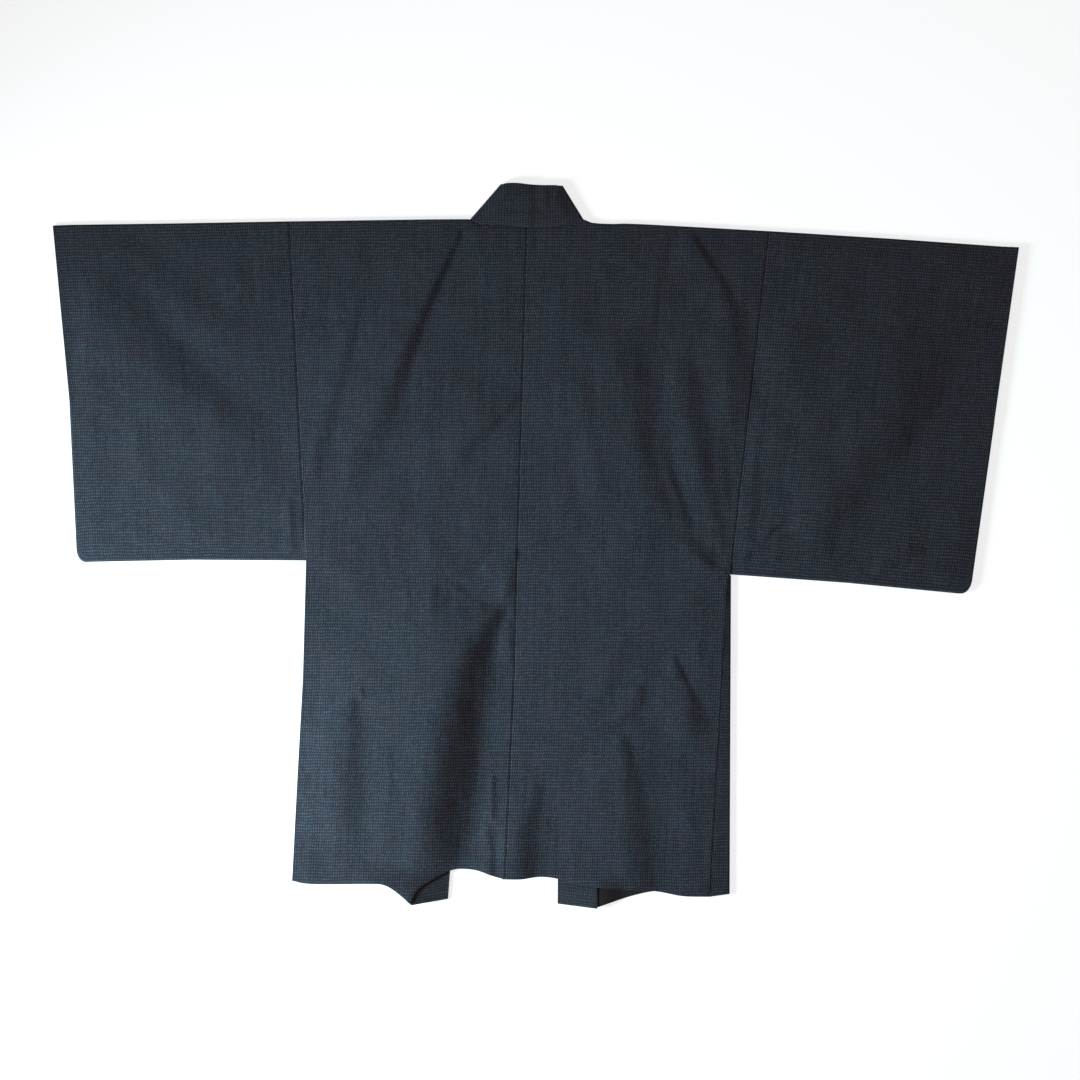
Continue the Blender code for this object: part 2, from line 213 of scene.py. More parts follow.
RIGHT = HalfPlan(
    half=Half.RIGHT,
    inner=((-12, 456.5), (-26, -20), (-26.2, -26), (-30, -185), (-43, -476)),
    outer=((334, 450), (279, -40), (274.5, -46), (266, -190), (248.5, -499)),
    neck=((-12, 456.2), (22, 457.2), (54, 460.7)),
    neck_corner=(69, 466.5),
    shoulder=((77, 463), (90, 461), (112, 460.3), (150, 460)),
    back_hem=(
        (-43, -476), (-20, -476), (5, -472.5), (30, -475), (60, -483),
        (110, -490), (170, -493), (210, -500), (248.5, -501),
    ),
    front_hem=((88.5, -516), (137, -500), (172, -493), (200, -495), (248.5, -495)),
    sleeve=(
        (0.0, ((334, 450), (304.7, 188.7), (279, -40))),
        (0.5, ((511, 439), (484, 185), (446, -52))),
        (0.93, ((667, 428), (634, 181), (602, -67))),
        (1.0, ((691, 427), (656, 180), (621, -68))),
    ),
)
SLEEVE_OPENING_SHARE = 8 / 15
SLEEVE_CORNER = 17.0
GUSSET_FOLD_RIGHT = ((279, -41.5), (277, -497))
GUSSET_HALF_WIDTHS = (4.0, 28.5)
GUSSET_INSET = 0.6
GUSSET_ROWS = 90
# Shares from the gusset's seam to its fold: the last even one, and the close ones at the fold.
GUSSET_EVEN_SHARE, GUSSET_FOLD_SHARES = 0.88, (0.94, 0.975, 0.993, 1.0)
# The share of the back's lift beside the right gusset, and how much of it and what more it loses.
GUSSET_LIFT, GUSSET_FALL = 0.7, (0.7, 0.8)
# Over what length the sleeve's edge closes below the hand opening.
SEWN_RUN = 10.0

# The collar band: at the hems, at the folded corners and round the neck, as seam and free edge.
BAND_ENDS = (((-178.5, -513), (-125, -504)), ((88.5, -518), (31.5, -511)))
# How far the band's ends tilt at their seams, from which Y on, and how far the fronts rise with them.
TAB_TILTS = ((8.2, -449.0, 170.0), (5.0, -468.0, 45.0))
TAB_RUN = 32.0
# How softly they bend at the seam, as a share of the band's width.
TAB_BEND = 0.2
BAND_WIDTH = 57.0
BAND_MIDDLE = (BAND_LEVEL + NECK_BAND_LEVEL) / 2
# Shares across the band, close together at its edges, and those close to a folded corner.
BAND_SEAM_SHARES, BAND_EVEN_SHARES, BAND_FREE_SHARES = (0.0, 0.02, 0.06), (0.12, 0.90), (0.95, 0.985, 1.0)
NECK_ROWS, NECK_RUN = 72, 160.0
NECK_TURN_SHARES = (0.002, 0.006, 0.014)
# The swelling of the band round the neck and its folds' lift, with their runs from the corners.
BAND_CROWN, BAND_CROWN_POWER, BAND_CROWN_RUN = 1.5, 0.8, 30.0
BAND_FOLD_LIFT, BAND_FOLD_RUN = 0.4, 20.0
# Where the back lies on the left end: the X at which it starts and stops, each with its fade.
TAB_RIGHT, TAB_LEFT = (-95.0, 30.0), (-250.0, 70.0)
NECK_STATIONS = (
    ((-92.5, 467), (-49, 517)), ((-80, 461), (-40, 519)), ((-46, 458.5), (-25, 519)),
    ((-12, 456.5), (-8, 517)), ((22, 457.5), (10, 516)), ((54, 461), (26, 516)),
    ((68.5, 465.5), (38, 515)),
)


# ---------------------------------------------------------------------------------------------
# Folds
# ---------------------------------------------------------------------------------------------

@dataclass(frozen=True)
class Crease:
    """A fold of the upper cloth along a path: a steep face with a crest before it.

    Args:
        path: Points down the middle of the steep face.
        widths: The steep face's width at even steps along the path.
        crest: How high the cloth stands before the face, at even steps.
        foot: How far it sinks past the face, at even steps.
        reach: How far the gentle slopes run, before the crest and past the foot.
        fades: Lengths over which the fold grows and dies at its ends.
        flip: True where the face looks the other way.
    """

    path: Line
    widths: tuple[float, ...]
    crest: tuple[float, ...]
    foot: tuple[float, ...] = (0.0,)
    reach: tuple[float, float] = (45.0, 35.0)
    fades: tuple[float, float] = (25.0, 40.0)
    flip: bool = False


@dataclass(frozen=True)
class Billow:
    """A broad soft rise of the cloth: middle, half sizes and height."""

    middle: tuple[float, float]
    half_sizes: tuple[float, float]
    height: float


# The way the steep faces look, up and to the right, and how much steeper they are at the foot.
FACE_WAY = np.array((0.82, 0.57))
FACE_LEAN = 1.15
# How straight the slope before a crest is, and how much later it starts away from the face.
SLOPE_EVEN = 0.85
FADE_SPREAD = 1.3

LEFT_BACK_CREASES = (
    # The long drag from the neck corner, and the one beside the armhole.
    Crease(((-104, 458), (-111, 438), (-123, 412), (-137, 381), (-158, 335), (-176, 289), (-194, 238),
           (-213, 192), (-231, 146), (-247, 100), (-262, 50)), (7, 14, 25, 34, 44, 50),
           (1.2, 2.4, 3.5, 3.2, 1.8, 0.6), (0.5, 1.0, 1.2, 1.0, 0.6, 0.2), (90, 50), (20, 90)),
    Crease(((-237, 438), (-265, 374)), (16, 18), (0.9, 0.7), fades=(20, 25)),
    Crease(((-243, 384), (-252, 340), (-260, 306), (-270, 265), (-281, 224), (-297, 160), (-310, 112),
           (-317, 66)), (10, 13, 18, 24, 28, 28), (0.7, 1.3, 1.3, 1.3, 1.7, 1.2), (0.3, 0.4), (45, 30),
           (40, 50)),
    # Short ones beside the centre seam.
    Crease(((-16, 224), (-30, 203), (-48, 185), (-68, 165), (-90, 146), (-104, 124), (-112, 92)),
           (10, 14, 24, 32, 32), (1.0, 1.6, 2.4, 2.4, 1.2), (0.3, 0.4, 0.3), (50, 35), (22, 40)),
    Crease(((-22, -3), (-56, -14), (-72, -26), (-82, -42)), (10, 12, 12), (1.6, 1.6, 1.0), (0.3, 0.2),
           (24, 20), (12, 18)),
    Crease(((-30, -14), (-34, -48), (-39, -72), (-46, -92)), (9, 16, 20), (0.6, 1.4, 1.6), (0.2, 0.3),
           (40, 16), (30, 30)),
    Crease(((-35, -100), (-35, -134), (-33, -178)), (9, 9), (1.2, 0.7), (0.2, 0.2), (25, 14), (12, 26)),
    # The largest fold, from the centre seam down to the hem.
    Crease(((-40, -80), (-49, -97), (-61, -113), (-73, -133), (-83, -158), (-92, -190), (-102, -231),
           (-110, -284), (-118, -336), (-126, -389), (-135, -442), (-143, -480), (-153, -530)),
           (12, 28, 50, 68, 80, 84, 87, 90, 93, 96, 98, 96, 88, 76, 70),
           (1.4, 4.0, 7.4, 10.2, 11.8, 12.6, 13.0, 13.2, 13.4, 13.4, 13.2, 11.6, 7.4, 3.4, 2.2),
           (0.5, 0.8, 1.0, 1.2, 1.2), (270, 45), (36, 0)),
    Crease(((-257, -204), (-260, -246), (-258, -284), (-261, -336), (-262, -390), (-265, -440)),
           (9, 28, 40, 44, 42), (0.9, 1.8, 2.1, 2.0, 1.0), (0.3, 0.9), (110, 50), (14, 60)),
    Crease(((-249, -196), (-243, -222)), (9, 9), (1.0, 0.7), fades=(8, 10), reach=(18, 14)),
    Crease(((-143, -40), (-142, -80), (-141, -116)), (15, 18), (1.1, 0.9)),
    Crease(((-59, -320), (-58, -360), (-60, -400)), (10, 12), (1.3, 1.2), (0.3, 0.2), (25, 18), (20, 20)),
    Crease(((-68, -392), (-62, -432), (-63, -480)), (12, 14), (1.3, 1.4), (0.2, 0.3), (30, 18), (18, 0)),
)
RIGHT_BACK_CREASES = (
    Crease(((8, -322), (5, -352), (0, -382), (-8, -418), (-14, -482)), (12, 30, 52, 60),
           (0.8, 2.0, 3.8, 4.0), (0.4, 0.8, 1.2, 1.2), (70, 45), (24, 0)),
    Crease(((0, -283), (92, -284)), (10, 10), (1.0, 0.8), fades=(25, 30), reach=(25, 20)),
    Crease(((124, -140), (119, -170), (107, -206), (90, -228)), (26, 26), (1.4, 1.0), fades=(30, 30)),
    Crease(((155, -190), (149, -226), (131, -242), (100, -250)), (14, 18, 22), (1.3, 1.4, 0.9), (0.2, 0.3),
           (38, 28), (20, 28)),
    Crease(((123, -262), (134, -315), (142, -357), (147, -400), (149, -442), (155, -500)), (18, 40, 56, 62),
           (1.2, 2.4, 3.2, 3.4), (0.5, 0.8), (90, 60), (22, 0)),
    Crease(((194, -150), (207, -178), (218, -199), (229, -231), (233, -268), (236, -310)), (8, 14, 42, 50),
           (1.0, 1.5, 2.6, 1.4), (0.3, 0.6), (60, 30), (14, 60)),
    Crease(((235, -125), (238, -175)), (12, 12), (0.8, 0.7), fades=(18, 18), reach=(20, 16)),
    Crease(((216, -372), (238, -420)), (16, 16), (1.1, 0.8), fades=(18, 20)),
    # From the shoulder and down the right back into the armpit.
    Crease(((218, 460), (228, 440), (247, 409), (269, 375), (284, 335), (292, 295), (298, 245), (297, 190),
           (295, 140)), (8, 11, 20, 38, 42, 38), (1.1, 1.2, 1.5, 2.2, 2.0, 1.0), (0.3, 0.4), (50, 18),
           (22, 60)),
    Crease(((198, 456), (184, 410), (176, 370), (172, 330), (172, 280)), (14, 18), (1.0, 0.9),
           fades=(25, 50)),
    Crease(((136, 352), (140, 320), (145, 285), (148, 250), (151, 210), (156, 169), (167, 112), (183, 66),
           (201, 32), (223, 4), (246, -10), (262, -26)), (66, 64, 50, 42, 32, 22),
           (1.0, 2.1, 2.6, 2.5, 1.6, 0.9), (0.6, 0.9, 0.5), (90, 40), (120, 18)),
    Crease(((171, 252), (178, 170)), (18, 18), (0.8, 0.7), fades=(35, 30)),
    Crease(((180, 180), (189, 123), (206, 72), (224, 16)), (14, 16), (1.2, 1.6, 1.2), (0.3, 0.3), (30, 24),
           (50, 20)),
    Crease(((213, 320), (217, 285), (222, 240), (230, 192), (243, 146), (252, 89), (264, 32), (274, -8)),
           (28, 44, 36, 26, 18), (0.8, 1.8, 1.8, 1.5, 1.1), (0.5, 0.4, 0.3), (50, 30), (100, 14)),
    Crease(((271, 140), (274, 95), (275, 48)), (11, 11), (0.8, 0.7), reach=(20, 16), fades=(22, 20)),
    Crease(((226, -6), (252, -26), (276, -35)), (14, 12), (1.2, 1.5), (0.2, 0.2), (28, 15), (18, 4)),
    Crease(((71, 336), (74, 276)), (16, 16), (0.7, 0.6)),
    Crease(((64, 262), (78, 181), (92, 123), (103, 36)), (20, 22), (1.0, 0.9), fades=(40, 45)),
)
LEFT_SLEEVE_CREASES = (
    Crease(((-606, 450), (-560, 410), (-514, 375), (-480, 342), (-434, 314), (-376, 304)), (48, 54, 50),
           (1.6, 2.0, 1.0), (0.7, 0.8, 0.4), (70, 50), (30, 110)),
    Crease(((-618, 414), (-600, 376), (-562, 318), (-522, 274), (-480, 236), (-434, 200), (-388, 168),
           (-338, 146)), (66, 78, 72, 60, 52), (2.6, 4.4, 3.8, 2.2, 0.7), (1.4, 2.0, 1.6, 0.8, 0.2),
           (110, 60), (40, 90)),
    Crease(((-652, 192), (-598, 148)), (40, 40), (1.0, 0.8), fades=(20, 40)),
    Crease(((-566, 184), (-551, 130), (-536, 60)), (30, 30), (1.1, 0.9)),
    Crease(((-350, 76), (-347, 30), (-345, -15)), (10, 10), (1.3, 1.1), reach=(16, 10), fades=(25, 5)),
    Crease(((-430, 400), (-391, 360)), (26, 24), (1.2, 1.0)),
    Crease(((-480, 60), (-472, 0)), (26, 26), (1.0, 0.9)),
    Crease(((-398, 12), (-362, 32)), (14, 14), (0.9, 0.9), reach=(22, 20), fades=(14, 14)),
)
RIGHT_SLEEVE_CREASES = (
    Crease(((610, 372), (598, 330), (573, 262), (550, 205), (515, 148), (470, 90), (436, 44), (402, 4),
           (384, -16)), (90, 104, 112, 108, 94, 84, 76), (0.8, 2.0, 3.2, 4.2, 4.4, 3.8, 2.0),
           (0.8, 1.6, 2.4, 2.6, 2.2, 1.4, 0.8), (190, 95), (110, 50)),
    Crease(((385, 345), (388, 260), (392, 170)), (52, 52), (1.3, 1.6, 1.1), fades=(50, 50)),
    Crease(((326, 236), (324, 166), (317, 123), (314, 80), (310, 38), (304, -10)), (13, 13),
           (0.9, 1.2, 1.2), reach=(26, 26), fades=(50, 25)),
    # Narrow pinched ones at the bottom.
    Crease(((478, -46), (509, -28), (544, -12), (570, -3)), (9, 9), (1.7, 1.2), (0.6, 0.4), (28, 18),
           (16, 28), True),
    Crease(((322, 2), (338, 21), (352, 32), (366, 39), (396, 46)), (7, 7), (0.5, 0.9, 1.3, 0.9),
           (1.0, 1.2, 0.8), (26, 14), (14, 36), True),
    Crease(((300, -34), (303, -16), (310, -6), (324, -2), (347, 6), (378, 10)), (7, 7),
           (0.6, 1.0, 1.3, 0.8), (0.9, 1.0, 0.6), (22, 14), (8, 28), True),
)
CREASES = LEFT_BACK_CREASES + RIGHT_BACK_CREASES + LEFT_SLEEVE_CREASES + RIGHT_SLEEVE_CREASES

BILLOWS = (
    Billow((-190, 250), (150, 190), 1.4),
    Billow((-180, -60), (140, 160), 1.4),
    Billow((80, 260), (110, 170), 1.4),
    Billow((120, 20), (120, 150), 1.4),
    Billow((110, -300), (110, 150), 1.4),
    Billow((-500, 120), (140, 130), 1.6),
    Billow((-470, 330), (150, 100), 1.4),
    Billow((500, 230), (140, 160), 1.8),
)

# Small undulations: wavelengths and heights of the waves that are laid over each other.
RIPPLE_WAVES = ((95.0, 0.34), (61.0, 0.20), (38.0, 0.11), (24.0, 0.06))
RIPPLES_A_WAVE = 7
RIPPLE_SEED = 7
# The upper cloth's even lift, and how softly its troughs flatten out at the level below.
BASE_LIFT = 0.8
FLOOR_SOFTNESS = 0.5


def ease(share: np.ndarray) -> np.ndarray:
    """A soft step from 0 to 1."""
    share = np.clip(share, 0.0, 1.0)
    return share * share * (3.0 - 2.0 * share)


def wave_step(share: np.ndarray) -> np.ndarray:
    """Falls from 1 to 0 as half a cosine wave."""
    return 0.5 * (1.0 + np.cos(np.pi * np.clip(share, 0.0, 1.0)))


def smooth_path(path: Line, step: float = 3.0) -> np.ndarray:
    """Resamples a path as a Catmull-Rom curve.

    Args:
        path: The curve's own points.
        step: About how far apart the new points are.

    Returns:
        The new points, one a row.
    """
    points = np.array(path, float)
    points = np.vstack((2 * points[0] - points[1], points, 2 * points[-1] - points[-2]))
    made = []
    for a, b, c, d in zip(points, points[1:], points[2:], points[3:]):
        count = max(2, int(np.hypot(*(c - b)) / step))
        t = np.linspace(0.0, 1.0, count, endpoint=False)[:, None]
        square, cube = 2 * a - 5 * b + 4 * c - d, 3 * b - a - 3 * c + d
        made.append(0.5 * (2 * b + (c - a) * t + square * t**2 + cube * t**3))
    made.append(points[-2][None, :])
    return np.vstack(made)


class FoldField:
    """How far the folds, billows and ripples lift the upper cloth."""

    def __init__(self, creases: tuple[Crease, ...], billows: tuple[Billow, ...]) -> None:
        """Keeps the tables, and draws the ripples' directions from a fixed seed.

        Args:
            creases: The folds.
            billows: The broad rises.
        """
        self.creases = creases
        self.billows = billows
        rng = np.random.default_rng(RIPPLE_SEED)
        self.waves = [
            (
                length, height / math.sqrt(RIPPLES_A_WAVE),
                rng.uniform(0, math.pi), rng.uniform(0, 2 * math.pi),
            )
            for length, height in RIPPLE_WAVES for _ in range(RIPPLES_A_WAVE)
        ]

    @staticmethod
    def crease_height(crease: Crease, x: np.ndarray, y: np.ndarray) -> np.ndarray:
        """The height that one crease adds.

        Args:
            crease: The fold.
            x: Points across the plan.
            y: Points along it.

        Returns:
            One height for each point.
        """
        path = smooth_path(crease.path)
        span = max(crease.widths) / 2 + max(crease.reach)
        low, high = path.min(axis=0) - span, path.max(axis=0) + span
        near = np.flatnonzero((x > low[0]) & (x < high[0]) & (y > low[1]) & (y < high[1]))
        height = np.zeros_like(x)
        if near.size == 0:
            return height
        along, aside, total = FoldField.from_path(path, x[near], y[near])
        chord = path[-1] - path[0]
        if (np.dot((chord[1], -chord[0]), FACE_WAY) > 0) == crease.flip:
            aside = -aside
        share = np.clip(along / total, 0.0, 1.0)
        width, crest, foot = (
            np.interp(share, np.linspace(0.0, 1.0, len(row)), row)
            for row in (crease.widths, crease.crest, crease.foot)
        )
        before = np.clip((-aside - width / 2) / crease.reach[0], 0.0, 1.0)
        lit = crest * (SLOPE_EVEN * (1.0 - before) + (1.0 - SLOPE_EVEN) * wave_step(before))
        face = -foot + (crest + foot) * wave_step(np.clip(aside / width + 0.5, 0.0, 1.0) ** FACE_LEAN)
        past = -foot * wave_step((aside - width / 2) / crease.reach[1])
        profile = np.where(aside < -width / 2, lit, np.where(aside > width / 2, past, face))
        later = FADE_SPREAD * np.maximum(np.abs(aside) - width / 2, 0.0)
        grow = ease(along / (crease.fades[0] + later)) if crease.fades[0] else 1.0
        die = ease((total - along) / (crease.fades[1] + later)) if crease.fades[1] else 1.0
        height[near] = profile * grow * die
        return height

    @staticmethod
    def from_path(path: np.ndarray, x: np.ndarray, y: np.ndarray) -> tuple[np.ndarray, np.ndarray, float]:
        """Where points are against a path, whose first and last runs go on past its ends.

        Args:
            path: The path's points, one a row.
            x: Points across the plan.
            y: Points along it.

        Returns:
            How far along the path each point is, how far to the path's right, and the path's length.
        """
        runs = path[1:] - path[:-1]
        lengths = np.hypot(runs[:, 0], runs[:, 1])
        starts = np.concatenate(([0.0], np.cumsum(lengths)))
        last = len(runs) - 1
        best, along, aside = np.full(x.shape, np.inf), np.zeros(x.shape), np.zeros(x.shape)
        for index, (origin, run, length) in enumerate(zip(path, runs, lengths)):
            dx, dy = x - origin[0], y - origin[1]
            share = (dx * run[0] + dy * run[1]) / (length * length)
            held = np.clip(share, -np.inf if index == 0 else 0.0, np.inf if index == last else 1.0)
            ox, oy = dx - held * run[0], dy - held * run[1]
            off = ox * ox + oy * oy
            closer = off < best
            best = np.where(closer, off, best)
            along = np.where(closer, starts[index] + held * length, along)
            aside = np.where(closer, np.sign(ox * run[1] - oy * run[0]) * np.sqrt(off), aside)
        return along, aside, starts[-1]

    def ripple(self, x: np.ndarray, y: np.ndarray) -> np.ndarray:
        """The small undulations.

        Args:
            x: Points across the plan.
            y: Points along it.

        Returns:
            One height for each point.
        """
        height = np.zeros_like(x)
        for length, size, turn, phase in self.waves:
            height += size * np.sin((x * math.cos(turn) + y * math.sin(turn)) * 2 * math.pi / length + phase)
        return height

    def __call__(self, x: np.ndarray, y: np.ndarray) -> np.ndarray:
        """The whole lift, never below the cloth's flat level.

        Args:
            x: Points across the plan.
            y: Points along it.

        Returns:
            One height for each point.
        """
        height = BASE_LIFT + self.ripple(x, y)
        for billow in self.billows:
            across = (x - billow.middle[0]) / billow.half_sizes[0]
            along = (y - billow.middle[1]) / billow.half_sizes[1]
            height += billow.height * wave_step(np.hypot(across, along))
        for crease in self.creases:
            height += self.crease_height(crease, x, y)
        return 0.5 * (height + np.sqrt(height * height + FLOOR_SOFTNESS))


FOLDS = FoldField(CREASES, BILLOWS)


# ---------------------------------------------------------------------------------------------
# Sheets
# ---------------------------------------------------------------------------------------------

def steps_between(length: float, step: float, start: bool, end: bool) -> np.ndarray:
    """Distances along an edge, closer together near an end that is rounded.

    Args:
        length: The whole length.
        step: The usual spacing.
        start: True where the start is rounded.
        end: True where the end is.

    Returns:
        The distances, from 0 to the length.
    """
    first = list(EDGE_STEPS) if start else [0.0]
    last = [length - s for s in reversed(EDGE_STEPS)] if end else [length]
    room = last[0] - first[-1]
    count = max(1, round(room / step))
    middle = [first[-1] + room * i / count for i in range(1, count)]
    return np.array(first + middle + last)


def line_height(line: Line, x: np.ndarray) -> np.ndarray:
    """The Y of a line at each X, with its corners rounded off.

    Args:
        line: The line's points.
        x: Where its Y is wanted.

    Returns:
        One Y for each X.
    """
    points = smooth_path(line, 6.0)
    order = np.argsort(points[:, 0])
    return np.interp(x, points[order, 0], points[order, 1])


def edge_x(line: Line, y: np.ndarray) -> np.ndarray:
    """The X of an edge that runs downwards.

    Args:
        line: The edge's points.
        y: Where its X is wanted.

    Returns:
        One X for each Y.
    """
    points = np.array(line)
    return np.interp(-y, -points[:, 1], points[:, 0])


def resample(path: np.ndarray, shares: np.ndarray) -> np.ndarray:
    """Points of a path at shares of its own count of points.

    Args:
        path: The path's points, one a row.
        shares: The shares, from 0 to 1.

    Returns:
        The new points, one a row.
    """
    own = np.linspace(0, 1, len(path))
    return np.column_stack([np.interp(shares, own, path[:, axis]) for axis in (0, 1)])


def panel_plan(inner: Line, outer: Line, top: Line, hem: Line, share: np.ndarray, down: np.ndarray) -> tuple:
    """Where the points of a body panel lie on the plan.

    Args:
        inner: The panel's inner edge.
        outer: Its outer edge, with as many points.
        top: Its neck seam and shoulder.
        hem: Its hem.
        share: Each point's share of the width, from the inner edge.
        down: Each point's share of the length, from the top.

    Returns:
        X and Y of the points.
    """
    inner_points, outer_points = np.array(inner, float), np.array(outer, float)
    knots = (inner_points[0, 1] - inner_points[:, 1]) / (inner_points[0, 1] - inner_points[-1, 1])
    ends = [
        np.interp(down, knots, points[:, axis]) for points in (inner_points, outer_points) for axis in (0, 1)
    ]
    x = ends[0] + (ends[2] - ends[0]) * share
    y = ends[1] + (ends[3] - ends[1]) * share
    (top_x, top_y), (hem_x, hem_y) = (
        [near + (far - near) * share for near, far in zip(inner_points[end], outer_points[end])]
        for end in (0, -1)
    )
    y = y + ease(1 - (top_y - y) / CURVE_REACH) * (line_height(top, top_x) - top_y)
    y = y + ease(1 - (y - hem_y) / CURVE_REACH) * (line_height(hem, hem_x) - hem_y)
    return x, y


@dataclass
class ClothGrid:
    """A grid of cloth that becomes one piece.

    Args:
        name: The piece's name, which is its CAD node's with a suffix.
        place: Gives X, Y, Z in millimetres, U, V in metres and the wear, for columns and rows.
        columns: How many steps across.
        rows: How many steps along.
        dropped: Says whether the face after a column and a row isn't cloth.
        weld: True where edges of the grid meet and are sewn shut.
    """

    name: str
    place: Callable[[np.ndarray, np.ndarray], tuple]
    columns: int
    rows: int
    dropped: Callable[[int, int], bool] | None = None
    weld: bool = False

    def build(self) -> bpy.types.Object:
        """Makes the grid, lays its points and leaves out what isn't cloth.

        Returns:
            The open sheet as an object at the origin.
        """
        bm = bmesh.new()
        bmesh.ops.create_grid(bm, x_segments=self.columns, y_segments=self.rows, size=0.5)
        mesh = bpy.data.meshes.new(self.name)
        bm.to_mesh(mesh)
        bm.free()
        count = len(mesh.vertices)
        flat = np.empty(count * 3)
        mesh.vertices.foreach_get("co", flat)
        flat = flat.reshape(-1, 3)
        column = np.rint((flat[:, 0] + 0.5) * self.columns).astype(int)
        row = np.rint((flat[:, 1] + 0.5) * self.rows).astype(int)
        x, y, z, u, v, edge = self.place(column, row)
        placed = np.column_stack((x + PLAN_SHIFT[0], y + PLAN_SHIFT[1], z)) * MM
        mesh.vertices.foreach_set("co", placed.ravel())
        corners = np.empty(len(mesh.loops), int)
        mesh.loops.foreach_get("vertex_index", corners)
        weave = mesh.uv_layers.new(name="weave")
        weave.data.foreach_set("uv", np.column_stack((u, v))[corners].ravel())
        worn = mesh.attributes.new("fold_edge", "FLOAT", "POINT")
        worn.data.foreach_set("value", edge.astype(np.float32))
        bm = bmesh.new()
        bm.from_mesh(mesh)
        if self.dropped:
            gone = [
                face for face in bm.faces
                if self.dropped(*(min(at[vert.index] for vert in face.verts) for at in (column, row)))
            ]
            bmesh.ops.delete(bm, geom=gone, context="FACES")
        if self.weld:
            bmesh.ops.remove_doubles(bm, verts=bm.verts, dist=WELD_DISTANCE)
        for face in bm.faces:
            face.smooth = True
        bm.to_mesh(mesh)
        bm.free()
        return add_object(self.name, mesh)


def add_object(name: str, data: bpy.types.ID) -> bpy.types.Object:
    """Puts a mesh, a lamp or a camera in the scene.

    Args:
        name: The object's name.
        data: What it shows.

    Returns:
        The object, at the origin.
    """
    made = bpy.data.objects.new(name, data)
    bpy.context.scene.collection.objects.link(made)
    return made


def give_wall(piece: bpy.types.Object, wall: float, rim: tuple[float, int], inside: bool) -> None:
    """Gives an open sheet its thickness and rounds its rims.

    Args:
        piece: The open sheet.
        wall: Its thickness.
        rim: The width of the rounding at its rims, and how many faces make it.
        inside: True where the inner side takes the piece's second material.
    """
    thickness = piece.modifiers.new("wall", "SOLIDIFY")
    thickness.thickness = wall * MM
    thickness.offset = 0.0
    thickness.use_rim = True
    if inside:
        thickness.material_offset = 1
    rounding = piece.modifiers.new("rims", "BEVEL")
    rounding.width = rim[0] * MM
    rounding.segments = rim[1]
    rounding.limit_method = "ANGLE"
    rounding.angle_limit = RIM_ANGLE
    rounding.use_clamp_overlap = True


def roll(level: np.ndarray, off: np.ndarray, middle: np.ndarray, radius: float = FOLD_RADIUS) -> np.ndarray:
    """Turns a layer towards its fold's middle level as it nears the folded edge.

    Args:
        level: The layer's level away from the edge.
        off: The distance from the edge.
        middle: The level of the fold itself.
        radius: How near the edge it starts to turn.

    Returns:
        The layer's level.
    """
    share = np.clip(off / radius, 0.0, 1.0)
    return middle + (level - middle) * np.sqrt(np.maximum(0.0, 1.0 - (1.0 - share) ** 2))


@dataclass(frozen=True)
class SeamStyle:
    """How the cloth sinks at a sewn seam: steeply on the side that lies over, gently on the other.

    Args:
        depth: How much it sinks.
        over_width: How far in on the side that lies over.
        under_width: How far in on the side with the allowance.
    """

    depth: float = 0.42
    over_width: float = 2.4
    under_width: float = 30.0

    def over(self, off: np.ndarray) -> np.ndarray:
        """How far the upper side sinks at a distance from the seam."""
        return self.depth * wave_step(np.abs(off) / self.over_width)

    def under(self, off: np.ndarray) -> np.ndarray:
        """How far the side with the allowance sinks: it dives under at the seam and stays there."""
        sunk = self.depth * wave_step(off / self.under_width)
        return sunk + ALLOWANCE_DROP * wave_step(off / GROOVE_WIDTH)


SEAM = SeamStyle()


def calm_edge(off: np.ndarray, left: float, reach: float) -> np.ndarray:
    """The share of the folds' height that is left near an edge, growing to 1 away from it.

    Args:
        off: The distance from the edge.
        left: The share at the edge itself.
        reach: Where it is whole again.

    Returns:
        One share for each distance.
    """
    return left + (1.0 - left) * ease(off / reach)


def tuck_height(x: np.ndarray, y: np.ndarray) -> np.ndarray:
    """How far the gusset tucked under the left edge lifts the back there.

    Args:
        x: Points across the plan.
        y: Points along it.

    Returns:
        One height for each point.
    """
    edge = TUCK_TOP[0] - TUCK_SPREAD * ease((TUCK_TOP[1] - y) / TUCK_LENGTH)
    across = 1 - ease((x - edge - TUCK_INWARDS[0]) / TUCK_INWARDS[1])
    upwards = ease((TUCK_UPWARDS[0] - y) / TUCK_UPWARDS[1])
    return TUCK_LIFT * across * upwards * ease((x - edge + TUCK_OUTWARDS[0]) / TUCK_OUTWARDS[1])


def tab_height(x: np.ndarray, y: np.ndarray) -> np.ndarray:
    """How far the collar's two ends tilt up towards their seams, and the fronts with them.

    Args:
        x: Points across the plan.
        y: Points along it.

    Returns:
        One height for each point.
    """
    height = np.zeros_like(x)
    for (seam, free), (lift, start, reach) in zip(BAND_ENDS, TAB_TILTS):
        across = (x - free[0]) / (seam[0] - free[0])
        beyond = np.maximum(across - 1.0, 0.0) * abs(seam[0] - free[0])
        rise = np.clip((across + 1.0 - np.hypot(across - 1.0, TAB_BEND)) / 2, 0.0, 1.0)
        height += lift * rise * wave_step(beyond / reach) * ease((start - y) / TAB_RUN)
    return height


def lower_height(x: np.ndarray, y: np.ndarray) -> np.ndarray:
    """The slight rise of the cloth underneath, which rests on the surface almost everywhere.

    Args:
        x: Points across the plan.
        y: Points along it.

    Returns:
        One height for each point.
    """
    first, bend, second, slant = LOWER_WAVES
    wave = np.sin(x / first + LOWER_REST * np.sin(y / bend)) + np.sin(y / second + x / slant)
    return LOWER_RISE * np.clip(wave - LOWER_REST, 0.0, 1.0)


# ---------------------------------------------------------------------------------------------
# Pieces
# ---------------------------------------------------------------------------------------------

